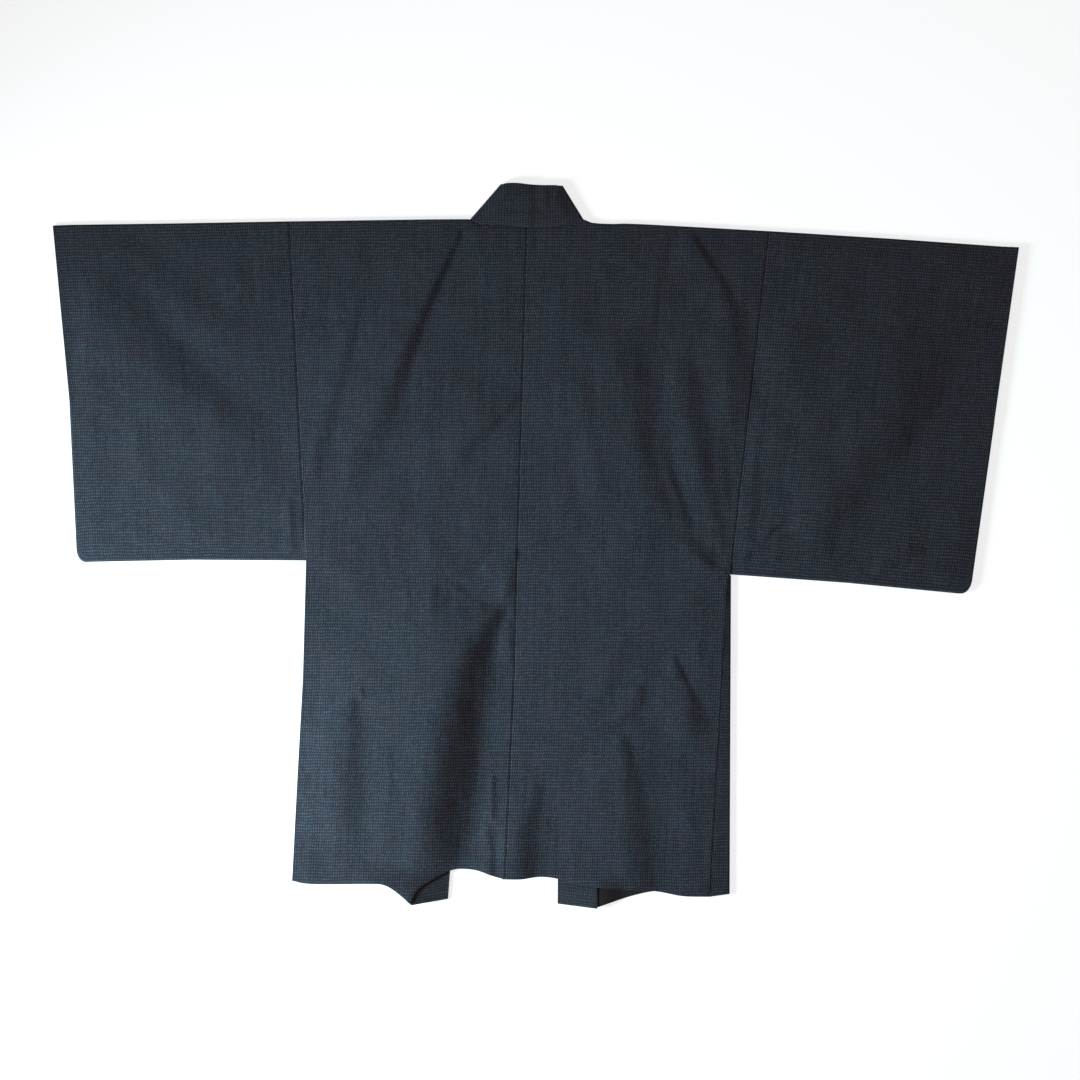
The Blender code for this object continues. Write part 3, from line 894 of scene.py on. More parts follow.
@dataclass(frozen=True)
class Cut:
    """How a piece was cut: its flat width and length, and its area, in metres."""

    width: float
    length: float
    area: float | None = None


@dataclass
class GarmentPiece:
    """What all cloth pieces share: a CAD node, a slot, a cut and materials."""

    node: str
    slot: Slot
    cut: Cut
    held: str
    rests_on: tuple[str, ...]

    def dress(self, piece: bpy.types.Object, finishes: tuple[bpy.types.Material, ...]) -> None:
        """Gives the piece its finishes, hangs it under the root and hides its CAD node.

        Args:
            piece: The finished sheet.
            finishes: The outer finish, and the lining's where the inside can show.
        """
        for finish in finishes:
            piece.data.materials.append(finish)
        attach(piece, "root")
        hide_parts(self.node)
        LOG.info("%s: %d faces before its wall", piece.name, len(piece.data.polygons))


@dataclass
class BodyPiece(GarmentPiece):
    """A body piece: the back, over the shoulder, and the front from the collar seam outwards."""

    plan: HalfPlan = LEFT

    def columns(self) -> tuple[np.ndarray, int, int, int]:
        """Shares of the width for the columns: the allowance, the neck corner and the rounded edges.

        The right piece goes under the left one at the centre, and the left piece under its sleeve.

        Returns:
            The shares, the panel's own first and last columns and the column of the neck corner.
        """
        width = abs(self.plan.outer[0][0] - self.plan.inner[0][0])
        corner = abs(self.plan.neck_corner[0] - self.plan.inner[0][0])
        neck = steps_between(corner, SHOWN_STEP, True, False)
        shoulder = corner + steps_between(width - corner, SHOWN_STEP, False, True)[1:]
        at_centre = self.plan.half is Half.RIGHT
        inner = [-s for s in reversed(ALLOWANCE_STEPS)] if at_centre else []
        outer = [] if at_centre else [width + s for s in ALLOWANCE_STEPS]
        distances = np.concatenate((inner, neck, shoulder, outer))
        first = len(inner)
        return distances / width, first, len(distances) - len(outer) - 1, first + len(neck) - 1

    def build(self) -> bpy.types.Object:
        """Lays the piece out, hem to shoulder and down to the front's hem.

        Returns:
            The finished sheet.
        """
        plan = self.plan
        way = plan.half.way
        shares, first, last, corner = self.columns()
        width = abs(plan.outer[0][0] - plan.inner[0][0])
        back_length = plan.inner[0][1] - plan.inner[-1][1]
        front_length = plan.neck_corner[1] - plan.front_hem[0][1]
        back_down = steps_between(back_length, SHOWN_STEP, True, True)[::-1]
        front_down = steps_between(front_length, HIDDEN_STEP, True, False)
        fold = len(back_down) - 1
        rows = fold + len(front_down) - 1
        down = np.concatenate((back_down / back_length, front_down[1:] / front_length))
        corner_share = shares[corner]
        armpit_share = (plan.inner[0][1] - plan.inner[1][1]) / back_length
        armpit = int(np.argmax(down <= armpit_share))
        over_outer = plan.half is Half.RIGHT

        def place(column: np.ndarray, row: np.ndarray) -> tuple:
            """Lays the points of the back, the front and the allowances of both at the neck.

            Args:
                column: Each point's column.
                row: Each point's row, from the back's hem.

            Returns:
                X, Y and Z in millimetres, U and V in metres, and the wear.
            """
            share, share_down = shares[column], down[row]
            on_back = row <= fold
            bx, by = panel_plan(plan.inner, plan.outer, plan.top_line, plan.back_hem, share, share_down)
            across = np.clip((share - corner_share) / (1 - corner_share), 0.0, 1.0)
            fx, fy = panel_plan(
                plan.front_inner, plan.front_outer, plan.shoulder_line, plan.front_hem, across, share_down
            )
            hem_x = plan.inner[-1][0] + (plan.outer[-1][0] - plan.inner[-1][0]) * share
            off_top = np.maximum(line_height(plan.top_line, bx) - by, 0.0)
            off_hem = np.maximum(by - line_height(plan.back_hem, hem_x), 0.0)
            off_inner = share * width
            off_outer = (1 - share) * width
            lift = FOLDS(bx, by) * calm_edge(off_top, *CALM_AT_FOLD)
            left_at_edge = np.where(share_down > armpit_share, CALM_BELOW_ARMPIT, CALM_AT_ARMHOLE[0])
            lift = lift * calm_edge(off_outer, left_at_edge, CALM_AT_ARMHOLE[1])
            over_tab = ease((TAB_RIGHT[0] - hem_x) / TAB_RIGHT[1])
            over_tab = over_tab * ease((hem_x - TAB_LEFT[0]) / TAB_LEFT[1])
            lift = lift * (1 - over_tab * ease((TAB_TILTS[0][1] - by) / TAB_RUN))
            level = UPPER_LEVEL + lift + tuck_height(bx, by)
            if over_outer:
                beside_gusset = np.where(share_down > armpit_share, GUSSET_SEAM, 1.0)
                level = level - SEAM.under(off_inner) - SEAM.over(off_outer) * beside_gusset
            else:
                level = level - SEAM.over(off_inner)
                level = level - np.where(share_down <= armpit_share, SEAM.under(off_outer), 0.0)
            on_neck = column < corner
            level = np.where(on_neck, level - NECK_SINK * wave_step(off_top / NECK_SINK_REACH), level)
            level = level - HEM_SINK * np.exp(-off_hem / HEM_SINK_REACH)
            level = level + tab_height(bx, by)
            rising = ease((fy - LOWER_STOP[0]) / LOWER_STOP[1])
            low = LOWER_LEVEL + lower_height(fx, fy) * rising + tab_height(fx, fy)
            middle = np.full_like(level, FOLD_MIDDLE)
            level = np.where(on_neck, level, roll(level, off_top, middle))
            off_fold = np.maximum(plan.neck_corner[1] - fy, 0.0)
            front_off_top = np.maximum(line_height(plan.top_line, fx) - fy, 0)
            low = np.where(off_fold < FRONT_TURN, roll(low, front_off_top, middle), low)
            x = np.where(on_back, bx, fx) + way * SEAM_GAP / 2 * (1 - 2 * share)
            y = np.where(on_back, by, fy)
            z = np.where(on_back, level, low)
            under = row - fold
            steps = len(ALLOWANCE_STEPS)
            reaches = np.array((0.0, *ALLOWANCE_STEPS))
            at_neck = on_neck & (under > 0) & (under <= steps)
            x = np.where(at_neck, bx, x)
            y = np.where(at_neck, line_height(plan.top_line, bx) + reaches[np.clip(under, 0, steps)], y)
            z = np.where(at_neck, NECK_ALLOWANCE_LEVEL, z)
            at_collar = on_neck & (under > steps)
            x = np.where(at_collar, fx - way * reaches[np.clip(corner - column, 0, steps)], x)
            y = np.where(at_collar, fy, y)
            z = np.where(at_collar, LOWER_LEVEL + FRONT_ALLOWANCE_RISE + tab_height(x, y), z)
            v = V_START + np.where(on_back, by, 2 * line_height(plan.top_line, fx) - fy)
            at_fold = np.where(on_neck, 0.0, np.exp(-off_top / FOLD_WEAR))
            edge = np.where(
                on_back,
                np.maximum(np.exp(-off_hem / HEM_WEAR), at_fold),
                np.exp(-np.abs(plan.neck_corner[1] - fy) / FOLD_WEAR),
            )
            to_corner = abs(plan.neck_corner[0] - plan.inner[0][0])
            on_front = to_corner + way * (fx - edge_x(plan.front_inner, fy))
            u = np.where(on_back, way * (bx - edge_x(plan.inner, by)), on_front)
            return x, y, z, u * MM, v * MM, edge

        def dropped(column: int, row: int) -> bool:
            """Says whether the face after a column and a row isn't cloth.

            Args:
                column: The face's column.
                row: Its row, from the back's hem.

            Returns:
                True beside the gusset, between the fronts and where no allowance is.
            """
            beyond = row - fold
            if column >= last:
                return beyond >= 0 or row < armpit
            if beyond < 0 or column >= corner:
                return False
            if beyond > len(ALLOWANCE_STEPS):
                return column < corner - 2
            return column == corner - 1 or column < first or beyond >= len(ALLOWANCE_STEPS)

        piece = ClothGrid(f"{self.node}_cloth", place, len(shares) - 1, rows, dropped).build()
        orient(piece)
        give_wall(piece, CLOTH_WALL, CLOTH_RIM, True)
        return piece


def orient(piece: bpy.types.Object) -> None:
    """Turns the faces of a mirrored sheet so that the cloth's outer side faces out.

    Args:
        piece: The open sheet.
    """
    bm = bmesh.new()
    bm.from_mesh(piece.data)
    top = max(bm.faces, key=lambda face: face.calc_center_median().z)
    if top.normal.z < 0:
        bmesh.ops.reverse_faces(bm, faces=bm.faces)
    bm.to_mesh(piece.data)
    bm.free()


@dataclass
class Sleeve(GarmentPiece):
    """A sleeve: folded on the shoulder, closed at the bottom and up to the hand opening."""

    plan: HalfPlan = LEFT
    width: float = 345.0
    depth: float = 482.0

    def plan_points(self, share: np.ndarray, down: np.ndarray) -> tuple[np.ndarray, np.ndarray]:
        """Where points lie on the plan, with the round corner at the bottom of the edge.

        Args:
            share: Shares of the width, from the armhole.
            down: Shares of the depth, from the shoulder.

        Returns:
            X and Y of the points.
        """
        corner_share = SLEEVE_CORNER / self.width
        corner_down = SLEEVE_CORNER / self.depth
        a = np.clip((share - 1 + corner_share) / corner_share, 0.0, 1.0)
        b = np.clip((down - 1 + corner_down) / corner_down, 0.0, 1.0)
        both = np.hypot(a, b)
        pull = np.where((a > 0) & (b > 0), np.maximum(a, b) / np.maximum(both, 1e-9), 1.0)
        share = np.where((a > 0) & (b > 0), 1 - corner_share + corner_share * a * pull, share)
        down = np.where((a > 0) & (b > 0), 1 - corner_down + corner_down * b * pull, down)
        knots = [at for at, _ in self.plan.sleeve]
        upper = np.clip(down / SLEEVE_OPENING_SHARE, 0.0, 1.0)
        below = np.clip((down - SLEEVE_OPENING_SHARE) / (1 - SLEEVE_OPENING_SHARE), 0.0, 1.0)
        placed = []
        for axis in (0, 1):
            top, opening, bottom = (
                np.interp(share, knots, [line[index][axis] for _, line in self.plan.sleeve])
                for index in range(3)
            )
            placed.append(np.where(
                down <= SLEEVE_OPENING_SHARE,
                top + (opening - top) * upper,
                opening + (bottom - opening) * below,
            ))
        return placed[0], placed[1]

    def build(self) -> bpy.types.Object:
        """Lays the sleeve out: up the upper layer, over the shoulder and down the lower one.

        Returns:
            The finished sheet.
        """
        way = self.plan.half.way
        goes_under = self.plan.half is Half.RIGHT
        allowance = [-s for s in reversed(ALLOWANCE_STEPS)] if goes_under else []
        across = np.concatenate((allowance, steps_between(self.width, SHOWN_STEP, True, True)))
        shares = across / self.width
        first = len(allowance)
        upper_down = steps_between(self.depth, SHOWN_STEP, True, True)[::-1]
        lower_down = steps_between(self.depth, HIDDEN_STEP, True, True)
        fold = len(upper_down) - 1
        down = np.concatenate((upper_down, lower_down[1:])) / self.depth

        def place(column: np.ndarray, row: np.ndarray) -> tuple:
            """Lays the points of both layers and turns them at the folds and the sewn edges.

            Args:
                column: Each point's column.
                row: Each point's row, from the upper layer's bottom.

            Returns:
                X, Y and Z in millimetres, U and V in metres, and the wear.
            """
            share, share_down = shares[column], down[row]
            above = row <= fold
            x, y = self.plan_points(np.maximum(share, 0.0), share_down)
            off_seam = share * self.width
            off_edge = (1 - share) * self.width
            off_top = share_down * self.depth
            off_bottom = (1 - share_down) * self.depth
            sewn = ease((share_down - SLEEVE_OPENING_SHARE) * self.depth / SEWN_RUN)
            lift = FOLDS(x, y) * calm_edge(off_top, *CALM_AT_FOLD) * calm_edge(off_bottom, *CALM_AT_FOLD)
            lift = lift * calm_edge(off_edge, *CALM_AT_OPENING) * calm_edge(off_seam, *CALM_AT_ARMHOLE)
            level = UPPER_LEVEL + lift - (SEAM.under(off_seam) if goes_under else SEAM.over(off_seam))
            low = LOWER_LEVEL + lower_height(x, y)
            middle = np.full_like(level, FOLD_MIDDLE)
            near = np.minimum(off_top, off_bottom)
            corner_a = np.clip(SLEEVE_CORNER - off_edge, 0, None)
            corner_b = np.clip(SLEEVE_CORNER - off_bottom, 0, None)
            in_corner = (corner_a > 0) & (corner_b > 0)
            corner_off = SLEEVE_CORNER - np.maximum(corner_a, corner_b)
            near = np.where(in_corner, corner_off, near)
            level = roll(level, near, middle)
            low = roll(low, near, middle)
            level = level + (roll(level, off_edge, middle) - level) * sewn
            low = low + (roll(low, off_edge, middle) - low) * sewn
            z = np.where(above, level, low)
            x = x + way * (SEAM_GAP / 2 * (1 - share)) + way * np.minimum(share, 0.0) * self.width
            v = np.where(above, self.depth * (1 - share_down), self.depth * (1 + share_down))
            edge = np.maximum(np.exp(-near / FOLD_WEAR), np.exp(-off_edge / HEM_WEAR))
            return x, y, z, share * self.width * MM, v * MM, edge

        def dropped(column: int, row: int) -> bool:
            """Says whether a face would be an allowance on the lower layer, which has none.

            Args:
                column: The face's column.
                row: Its row, from the upper layer's bottom.

            Returns:
                True where the face isn't cloth.
            """
            return row >= fold and column < first

        columns, rows = len(shares) - 1, len(down) - 1
        piece = ClothGrid(f"{self.node}_cloth", place, columns, rows, dropped, weld=True).build()
        orient(piece)
        give_wall(piece, CLOTH_WALL, CLOTH_RIM, True)
        return piece


@dataclass
class Gusset(GarmentPiece):
    """A gusset: a thin wedge, folded lengthwise."""

    plan: HalfPlan = LEFT
    across_steps: int = 9

    def build(self) -> bpy.types.Object:
        """Lays the wedge out: the right one folded outwards, the left one tucked inside.

        Returns:
            The finished sheet.
        """
        if self.plan.half is Half.RIGHT:
            piece = self.outward()
        else:
            piece = self.tucked()
        orient(piece)
        give_wall(piece, CLOTH_WALL, CLOTH_RIM, True)
        return piece

    def half_shares(self) -> np.ndarray:
        """Shares from the seam to the fold, closer together at the fold."""
        return np.concatenate((np.linspace(0.0, GUSSET_EVEN_SHARE, self.across_steps), GUSSET_FOLD_SHARES))

    def outward(self) -> bpy.types.Object:
        """The right gusset: its upper half shows between the back and the edge.

        Returns:
            The open sheet.
        """
        top, hem = (np.array(point, float) for point in GUSSET_FOLD_RIGHT)
        outer = np.array(self.plan.outer[1:], float)[::-1]
        half = self.half_shares()
        allowance = -np.array(ALLOWANCE_STEPS[::-1])
        count = len(half)
        length = top[1] - hem[1]
        downs = steps_between(length, SHOWN_STEP, False, True) / length

        def place(column: np.ndarray, row: np.ndarray) -> tuple:
            """Lays the points from the allowance under the back to the lower half's seam.

            Args:
                column: Each point's column.
                row: Each point's row, from the armpit.

            Returns:
                X, Y and Z in millimetres, U and V in metres, and the wear.
            """
            share_down = downs[row]
            fold_x = top[0] + (hem[0] - top[0]) * share_down
            y = top[1] + (hem[1] - top[1]) * share_down
            seam_x = np.interp(y, outer[:, 1], outer[:, 0]) + SEAM_GAP / 2
            inside = column < len(allowance)
            index = np.clip(column - len(allowance), 0, 2 * count - 2)
            above = index < count
            share = half[np.where(above, index, 2 * count - 2 - index)]
            y = y + (self.plan.back_hem[-1][1] - hem[1]) * (1 - share) * share_down
            under = allowance[np.clip(column, 0, len(allowance) - 1)]
            x = np.where(inside, seam_x + under, seam_x + (fold_x - seam_x) * share)
            width = fold_x - seam_x
            lift = FOLDS(np.minimum(x, seam_x), y) * GUSSET_LIFT
            groove = ALLOWANCE_DROP * wave_step((x - seam_x) / GROOVE_WIDTH) + SEAM.depth
            tip = UPPER_LEVEL + lift - GUSSET_SEAM * groove
            level = tip - (lift * GUSSET_FALL[0] + GUSSET_FALL[1]) * share
            level = np.where(inside, tip, level)
            low = np.full_like(level, LOWER_LEVEL)
            middle = np.full_like(level, (UPPER_LEVEL + LOWER_LEVEL) / 2)
            off_fold = (1 - share) * width
            z = np.where(above, roll(level, off_fold, middle), roll(low, off_fold, middle))
            z = np.where(inside, level, z)
            u = np.where(above, share, 2 - share) * GUSSET_HALF_WIDTHS[1] + np.where(inside, under, 0.0)
            return x, y, z, u * MM, (y + GUSSET_V_START) * MM, np.exp(-off_fold / GUSSET_WEAR)

        columns = len(allowance) + 2 * count - 2
        return ClothGrid(f"{self.node}_cloth", place, columns, len(downs) - 1).build()

    def tucked(self) -> bpy.types.Object:
        """The left gusset: both halves lie between the front and the back.

        Returns:
            The open sheet.
        """
        top, hem = self.plan.outer[2], self.plan.front_hem[-1]
        outer = np.array(self.plan.outer[2:], float)[::-1]
        half = self.half_shares()
        count = len(half)

        def place(column: np.ndarray, row: np.ndarray) -> tuple:
            """Lays the points of both halves.

            Args:
                column: Each point's column.
                row: Each point's row, from the armpit.

            Returns:
                X, Y and Z in millimetres, U and V in metres, and the wear.
            """
            share_down = row / GUSSET_ROWS
            y = top[1] + (hem[1] - top[1]) * share_down
            above = column < count
            share = half[np.where(above, column, 2 * count - 2 - column)]
            width = GUSSET_HALF_WIDTHS[0] + (GUSSET_HALF_WIDTHS[1] - GUSSET_HALF_WIDTHS[0]) * share_down
            x = np.interp(y, outer[:, 1], outer[:, 0]) + GUSSET_INSET + share * width
            level = np.where(above, TUCK_LEVELS[1], TUCK_LEVELS[0])
            z = roll(level, (1 - share) * width, np.full(x.shape, sum(TUCK_LEVELS) / 2), TUCK_RADIUS)
            u = np.where(above, share, 2 - share) * GUSSET_HALF_WIDTHS[1]
            return x, y, z, u * MM, (y + GUSSET_V_START) * MM, np.zeros(x.shape)

        return ClothGrid(f"{self.node}_cloth", place, 2 * count - 2, GUSSET_ROWS).build()


@dataclass
class CollarBand(GarmentPiece):
    """The doubled collar band: up one front, over a folded corner, round the neck and down."""

    across: int = 18
    front_rows: int = 180
    creases: tuple[Crease, ...] = (
        Crease(((-6, 526), (-5, 490), (-7, 448)), (14, 10), (0.5, 0.35), (0.3, 0.2), (22, 16), (0, 0)),
        Crease(((14, 526), (16, 500), (18, 470)), (10, 8), (0.5, 0.3), (0.2, 0.1), (16, 14), (0, 20)),
        Crease(((-58, 512), (-52, 480)), (12, 12), (0.4, 0.3), reach=(20, 16)),
    )

    def stations(self) -> tuple[np.ndarray, np.ndarray, np.ndarray]:
        """The lines across the band, from its end on the left front to its end on the right one.

        Returns:
            The seam points, the free edge's points, and each line's distance from a folded corner
            and its level.
        """
        neck = [(np.array(seam, float), np.array(free, float)) for seam, free in NECK_STATIONS]
        seams, frees, offs, levels = [], [], [], []
        for end, corner, forward in ((BAND_ENDS[0], neck[0], True), (BAND_ENDS[1], neck[-1], False)):
            low_seam, low_free = (np.array(point, float) for point in end)
            length = np.hypot(*(corner[0] - low_seam))
            run = steps_between(length, length / self.front_rows, False, True)
            share = (run / length)[:, None]
            side_seams = low_seam + (corner[0] - low_seam) * share
            side_frees = low_free + (corner[1] - low_free) * share
            order = slice(None) if forward else slice(None, None, -1)
            seams.append(side_seams[order])
            frees.append(side_frees[order])
            offs.append((length - run)[order])
            levels.append(np.full(len(run), BAND_LEVEL))
        close = np.array(NECK_TURN_SHARES)
        at = np.unique(np.concatenate((np.linspace(0, 1, NECK_ROWS), close, 1 - close)))
        neck_seams, neck_frees = (resample(smooth_path(side, 2.0), at) for side in zip(*NECK_STATIONS))
        neck_off = np.minimum(at, 1 - at) * NECK_RUN
        all_seams = np.vstack((seams[0], neck_seams[1:-1], seams[1]))
        all_frees = np.vstack((frees[0], neck_frees[1:-1], frees[1]))
        off = np.concatenate((offs[0], neck_off[1:-1], offs[1]))
        level = np.concatenate((levels[0], np.full(len(at) - 2, NECK_BAND_LEVEL), levels[1]))
        return all_seams, all_frees, np.column_stack((off, level))

    def build(self) -> bpy.types.Object:
        """Lays the band out.

        Returns:
            The finished sheet.
        """
        seams, frees, turns = self.stations()
        even = np.linspace(*BAND_EVEN_SHARES, self.across - 4)
        shares = np.concatenate((BAND_SEAM_SHARES, even, BAND_FREE_SHARES))
        middles = (seams + frees) / 2
        runs = np.hypot(*(middles[1:] - middles[:-1]).T)
        along = np.concatenate(([0.0], np.cumsum(runs)))
        field_of_band = FoldField(self.creases, ())
        at_neck = along[len(along) // 2]

        def place(column: np.ndarray, row: np.ndarray) -> tuple:
            """Lays the points between the seam and the free edge.

            Args:
                column: Each point's column, from the seam.
                row: Each point's row, from the end on the left front.

            Returns:
                X, Y and Z in millimetres, U and V in metres, and the wear.
            """
            share = shares[column]
            x = seams[row, 0] + (frees[row, 0] - seams[row, 0]) * share
            y = seams[row, 1] + (frees[row, 1] - seams[row, 1]) * share
            off, level = turns[row, 0], turns[row, 1]
            on_neck = level > BAND_MIDDLE
            folds = np.zeros_like(x)
            for crease in self.creases:
                folds += field_of_band.crease_height(crease, x, y)
            crown = BAND_CROWN * np.sin(np.pi * share) ** BAND_CROWN_POWER * ease(off / BAND_CROWN_RUN)
            crown = crown + np.maximum(folds + BAND_FOLD_LIFT, 0) * ease(off / BAND_FOLD_RUN)
            level = np.where(on_neck, level + crown, level)
            z = roll(level, off, np.full_like(level, BAND_MIDDLE), BAND_RADIUS)
            z = z + np.where(on_neck, 0.0, tab_height(x, y))
            edge = np.maximum(np.exp(-off / FOLD_WEAR), np.exp(-(1 - share) * BAND_WIDTH / HEM_WEAR))
            u = np.where(on_neck, y - NECK_STATIONS[0][0][1], share * BAND_WIDTH)
            v = np.where(on_neck, at_neck + x, along[row])
            return x, y, z, u * MM, v * MM, edge

        piece = ClothGrid(f"{self.node}_cloth", place, len(shares) - 1, len(along) - 1).build()
        orient(piece)
        give_wall(piece, BAND_WALL, BAND_RIM, False)
        return piece


# ---------------------------------------------------------------------------------------------
# Finishes
# ---------------------------------------------------------------------------------------------

class Nodes:
    """Short ways to add and join shader nodes in one tree."""

    def __init__(self, tree: bpy.types.NodeTree) -> None:
        """Keeps the tree."""
        self.tree = tree

    def add(self, kind: str, inputs: dict | None = None, **settings: object) -> bpy.types.Node:
        """Adds a node.

        Args:
            kind: The node's type, without its ShaderNode prefix.
            inputs: Values for its sockets, or sockets to join to them.
            settings: Its other properties.

        Returns:
            The node.
        """
        node = self.tree.nodes.new(f"ShaderNode{kind}")
        for name, value in settings.items():
            setattr(node, name, value)
        for key, value in (inputs or {}).items():
            socket = node.inputs[key]
            if isinstance(value, bpy.types.NodeSocket):
                self.tree.links.new(value, socket)
            else:
                socket.default_value = value
        return node

    def math(self, operation: str, *values: object) -> bpy.types.NodeSocket:
        """Joins values by one sum, and gives its result."""
        node = self.add("Math", dict(enumerate(values)), operation=operation)
        return node.outputs[0]

    def pair(self, first: object, second: object) -> bpy.types.NodeSocket:
        """Two values as a vector."""
        return self.add("CombineXYZ", {0: first, 1: second}).outputs[0]

    def noise(self, place: object, scale: float, detail: float) -> bpy.types.NodeSocket:
        """Flat soft noise.

        Args:
            place: Where it is looked up.
            scale: How fine it is.
            detail: How many finer layers it has.

        Returns:
            Its value.
        """
        inputs = {"Vector": place, "Scale": scale, "Detail": detail}
        return self.add("TexNoise", inputs, noise_dimensions="2D").outputs[0]

    def chance(self, place: object) -> bpy.types.NodeSocket:
        """One random value for each pair of whole numbers."""
        return self.add("TexWhiteNoise", {"Vector": place}, noise_dimensions="2D").outputs["Value"]

    def from_middle(self, share: object) -> bpy.types.NodeSocket:
        """How far a share is from one half."""
        return self.math("ABSOLUTE", self.math("SUBTRACT", share, 0.5))

    def step(
        self, value: object, low: float, high: float, out_low: float = 0.0, out_high: float = 1.0,
    ) -> bpy.types.NodeSocket:
        """A soft step of a value between two limits.

        Args:
            value: The value.
            low: The limit at which the result is the first one.
            high: The limit at which it is the last one.
            out_low: The first result.
            out_high: The last result.

        Returns:
            The result.
        """
        node = self.add(
            "MapRange",
            {"Value": value, "From Min": low, "From Max": high, "To Min": out_low, "To Max": out_high},
            interpolation_type="SMOOTHSTEP",
        )
        return node.outputs["Result"]

    def mix(self, share: object, first: object, second: object, blend: str = "MIX") -> bpy.types.NodeSocket:
        """Mixes two colours.

        Args:
            share: The share of the second colour.
            first: The first colour.
            second: The second colour.
            blend: How they are mixed.

        Returns:
            The mixed colour.
        """
        node = self.add("Mix", data_type="RGBA", blend_type=blend)
        for name, value in (("Factor_Float", share), ("A_Color", first), ("B_Color", second)):
            socket = next(s for s in node.inputs if s.identifier == name)
            if isinstance(value, bpy.types.NodeSocket):
                self.tree.links.new(value, socket)
            else:
                socket.default_value = value
        return next(s for s in node.outputs if s.identifier == "Result_Color")


def new_group(name: str, inputs: tuple, outputs: tuple) -> tuple[bpy.types.NodeTree, Nodes, dict, object]:
    """Starts a node group with named sockets.

    Args:
        name: The group's name.
        inputs: Name, socket type and value of each input.
        outputs: Name and socket type of each output.

    Returns:
        The tree, its helper, its input sockets by name and its output node.
    """
    tree = bpy.data.node_groups.new(name, "ShaderNodeTree")
    for label, kind, value in inputs:
        socket = tree.interface.new_socket(label, in_out="INPUT", socket_type=kind)
        if value is not None:
            socket.default_value = value
    for label, kind in outputs:
        tree.interface.new_socket(label, in_out="OUTPUT", socket_type=kind)
    nodes = Nodes(tree)
    start = tree.nodes.new("NodeGroupInput")
    end = tree.nodes.new("NodeGroupOutput")
    return tree, nodes, {socket.name: socket for socket in start.outputs}, end


# How much the rows of dashes wander, how much each is shifted, and where a dash starts and is full.
ROW_WANDER, DASH_SHIFT, DASH_EDGE = 0.7, 0.55, (0.31, 0.17)
# Patches where the weft or the warp wins: how fine, their limits, and a thread's strength alone.
PATCH_SCALE = 190.0
WEFT_PATCHES, WEFT_STRENGTHS = (0.40, 0.60), (0.16, 0.32)
WARP_PATCHES, WARP_STRENGTHS = (0.60, 0.40), (0.24, 0.42)
# A dash's least strength and what chance adds, by the dash and by its quarters.
DASH_STRENGTH, DASH_CHANCE, SPECK_CHANCE = 0.34, 0.46, 0.42
# How long the thick stretches of a row are, and how the rows differ.
SLUB_STRETCH = (70.0, 0.731)


def dash_group() -> bpy.types.NodeTree:
    """Rows of fine pale dashes, thrown in by the weft, uneven in length and strength.

    Returns:
        The group, with a mask of the dashes and one of their rows as its outputs.
    """
    tree, n, given, end = new_group(
        "weft_dashes",
        (
            ("Cloth", "NodeSocketVector", None),
            ("Row Pitch", "NodeSocketFloat", 0.00425),
            ("Dash Pitch", "NodeSocketFloat", 0.00345),
            ("Slub", "NodeSocketFloat", 0.5),
        ),
        (("Dash", "NodeSocketFloat"), ("Line", "NodeSocketFloat")),
    )
    parts = n.add("SeparateXYZ", {0: given["Cloth"]})
    u, v = parts.outputs["X"], parts.outputs["Y"]
    wander = n.noise(given["Cloth"], 30.0, 1.0)
    shift = n.math("MULTIPLY", n.math("SUBTRACT", wander, 0.5), ROW_WANDER)
    rows = n.math("ADD", n.math("DIVIDE", v, given["Row Pitch"]), shift)
    row_number = n.math("FLOOR", rows)
    in_row = n.math("FRACT", rows)
    line = n.step(n.from_middle(in_row), *DASH_EDGE)
    row_random = n.add("TexWhiteNoise", {"W": row_number}, noise_dimensions="1D").outputs["Value"]
    row_shift = n.math("MULTIPLY", row_random, DASH_SHIFT)
    columns = n.math("ADD", n.math("DIVIDE", u, given["Dash Pitch"]), row_shift)
    column_number = n.math("FLOOR", columns)
    in_column = n.math("FRACT", columns)
    cell_random = n.chance(n.pair(column_number, row_number))
    length = n.step(n.from_middle(in_column), *DASH_EDGE)
    patch = n.noise(given["Cloth"], PATCH_SCALE, 1.0)
    crossed = []
    for thread, other, limits, strengths in (
        (line, length, WEFT_PATCHES, WEFT_STRENGTHS), (length, line, WARP_PATCHES, WARP_STRENGTHS),
    ):
        alone = n.step(patch, *limits, *strengths)
        rest = n.math("MULTIPLY", other, n.math("SUBTRACT", 1.0, alone))
        crossed.append(n.math("MULTIPLY", thread, n.math("ADD", alone, rest)))
    fine = n.math("MAXIMUM", *crossed)
    halves = [n.math("FLOOR", n.math("MULTIPLY", number, 2.0)) for number in (columns, rows)]
    speck = n.chance(n.pair(*halves))
    strength = n.math("ADD", DASH_STRENGTH, n.math("MULTIPLY", cell_random, DASH_CHANCE))
    dash = n.math("MULTIPLY", fine, n.math("ADD", strength, n.math("MULTIPLY", speck, SPECK_CHANCE)))
    stretched = [n.math("MULTIPLY", number, by) for number, by in zip((u, row_number), SLUB_STRETCH)]
    slub_strength = n.step(n.noise(n.pair(*stretched), 1.0, 2.0), 0.50, 0.72)
    thread = n.math("MULTIPLY", line, slub_strength)
    both = n.math("ADD", dash, n.math("MULTIPLY", thread, given["Slub"]))
    tree.links.new(n.math("MINIMUM", both, 1.0), end.inputs["Dash"])
    tree.links.new(line, end.inputs["Line"])
    return tree


# How fine the threads' unevenness is across and along them, and the ribs' across and along the cloth.
THREAD_STRETCH = (900.0, 60.0)
RIB_STRETCH = (320.0, 9.0)


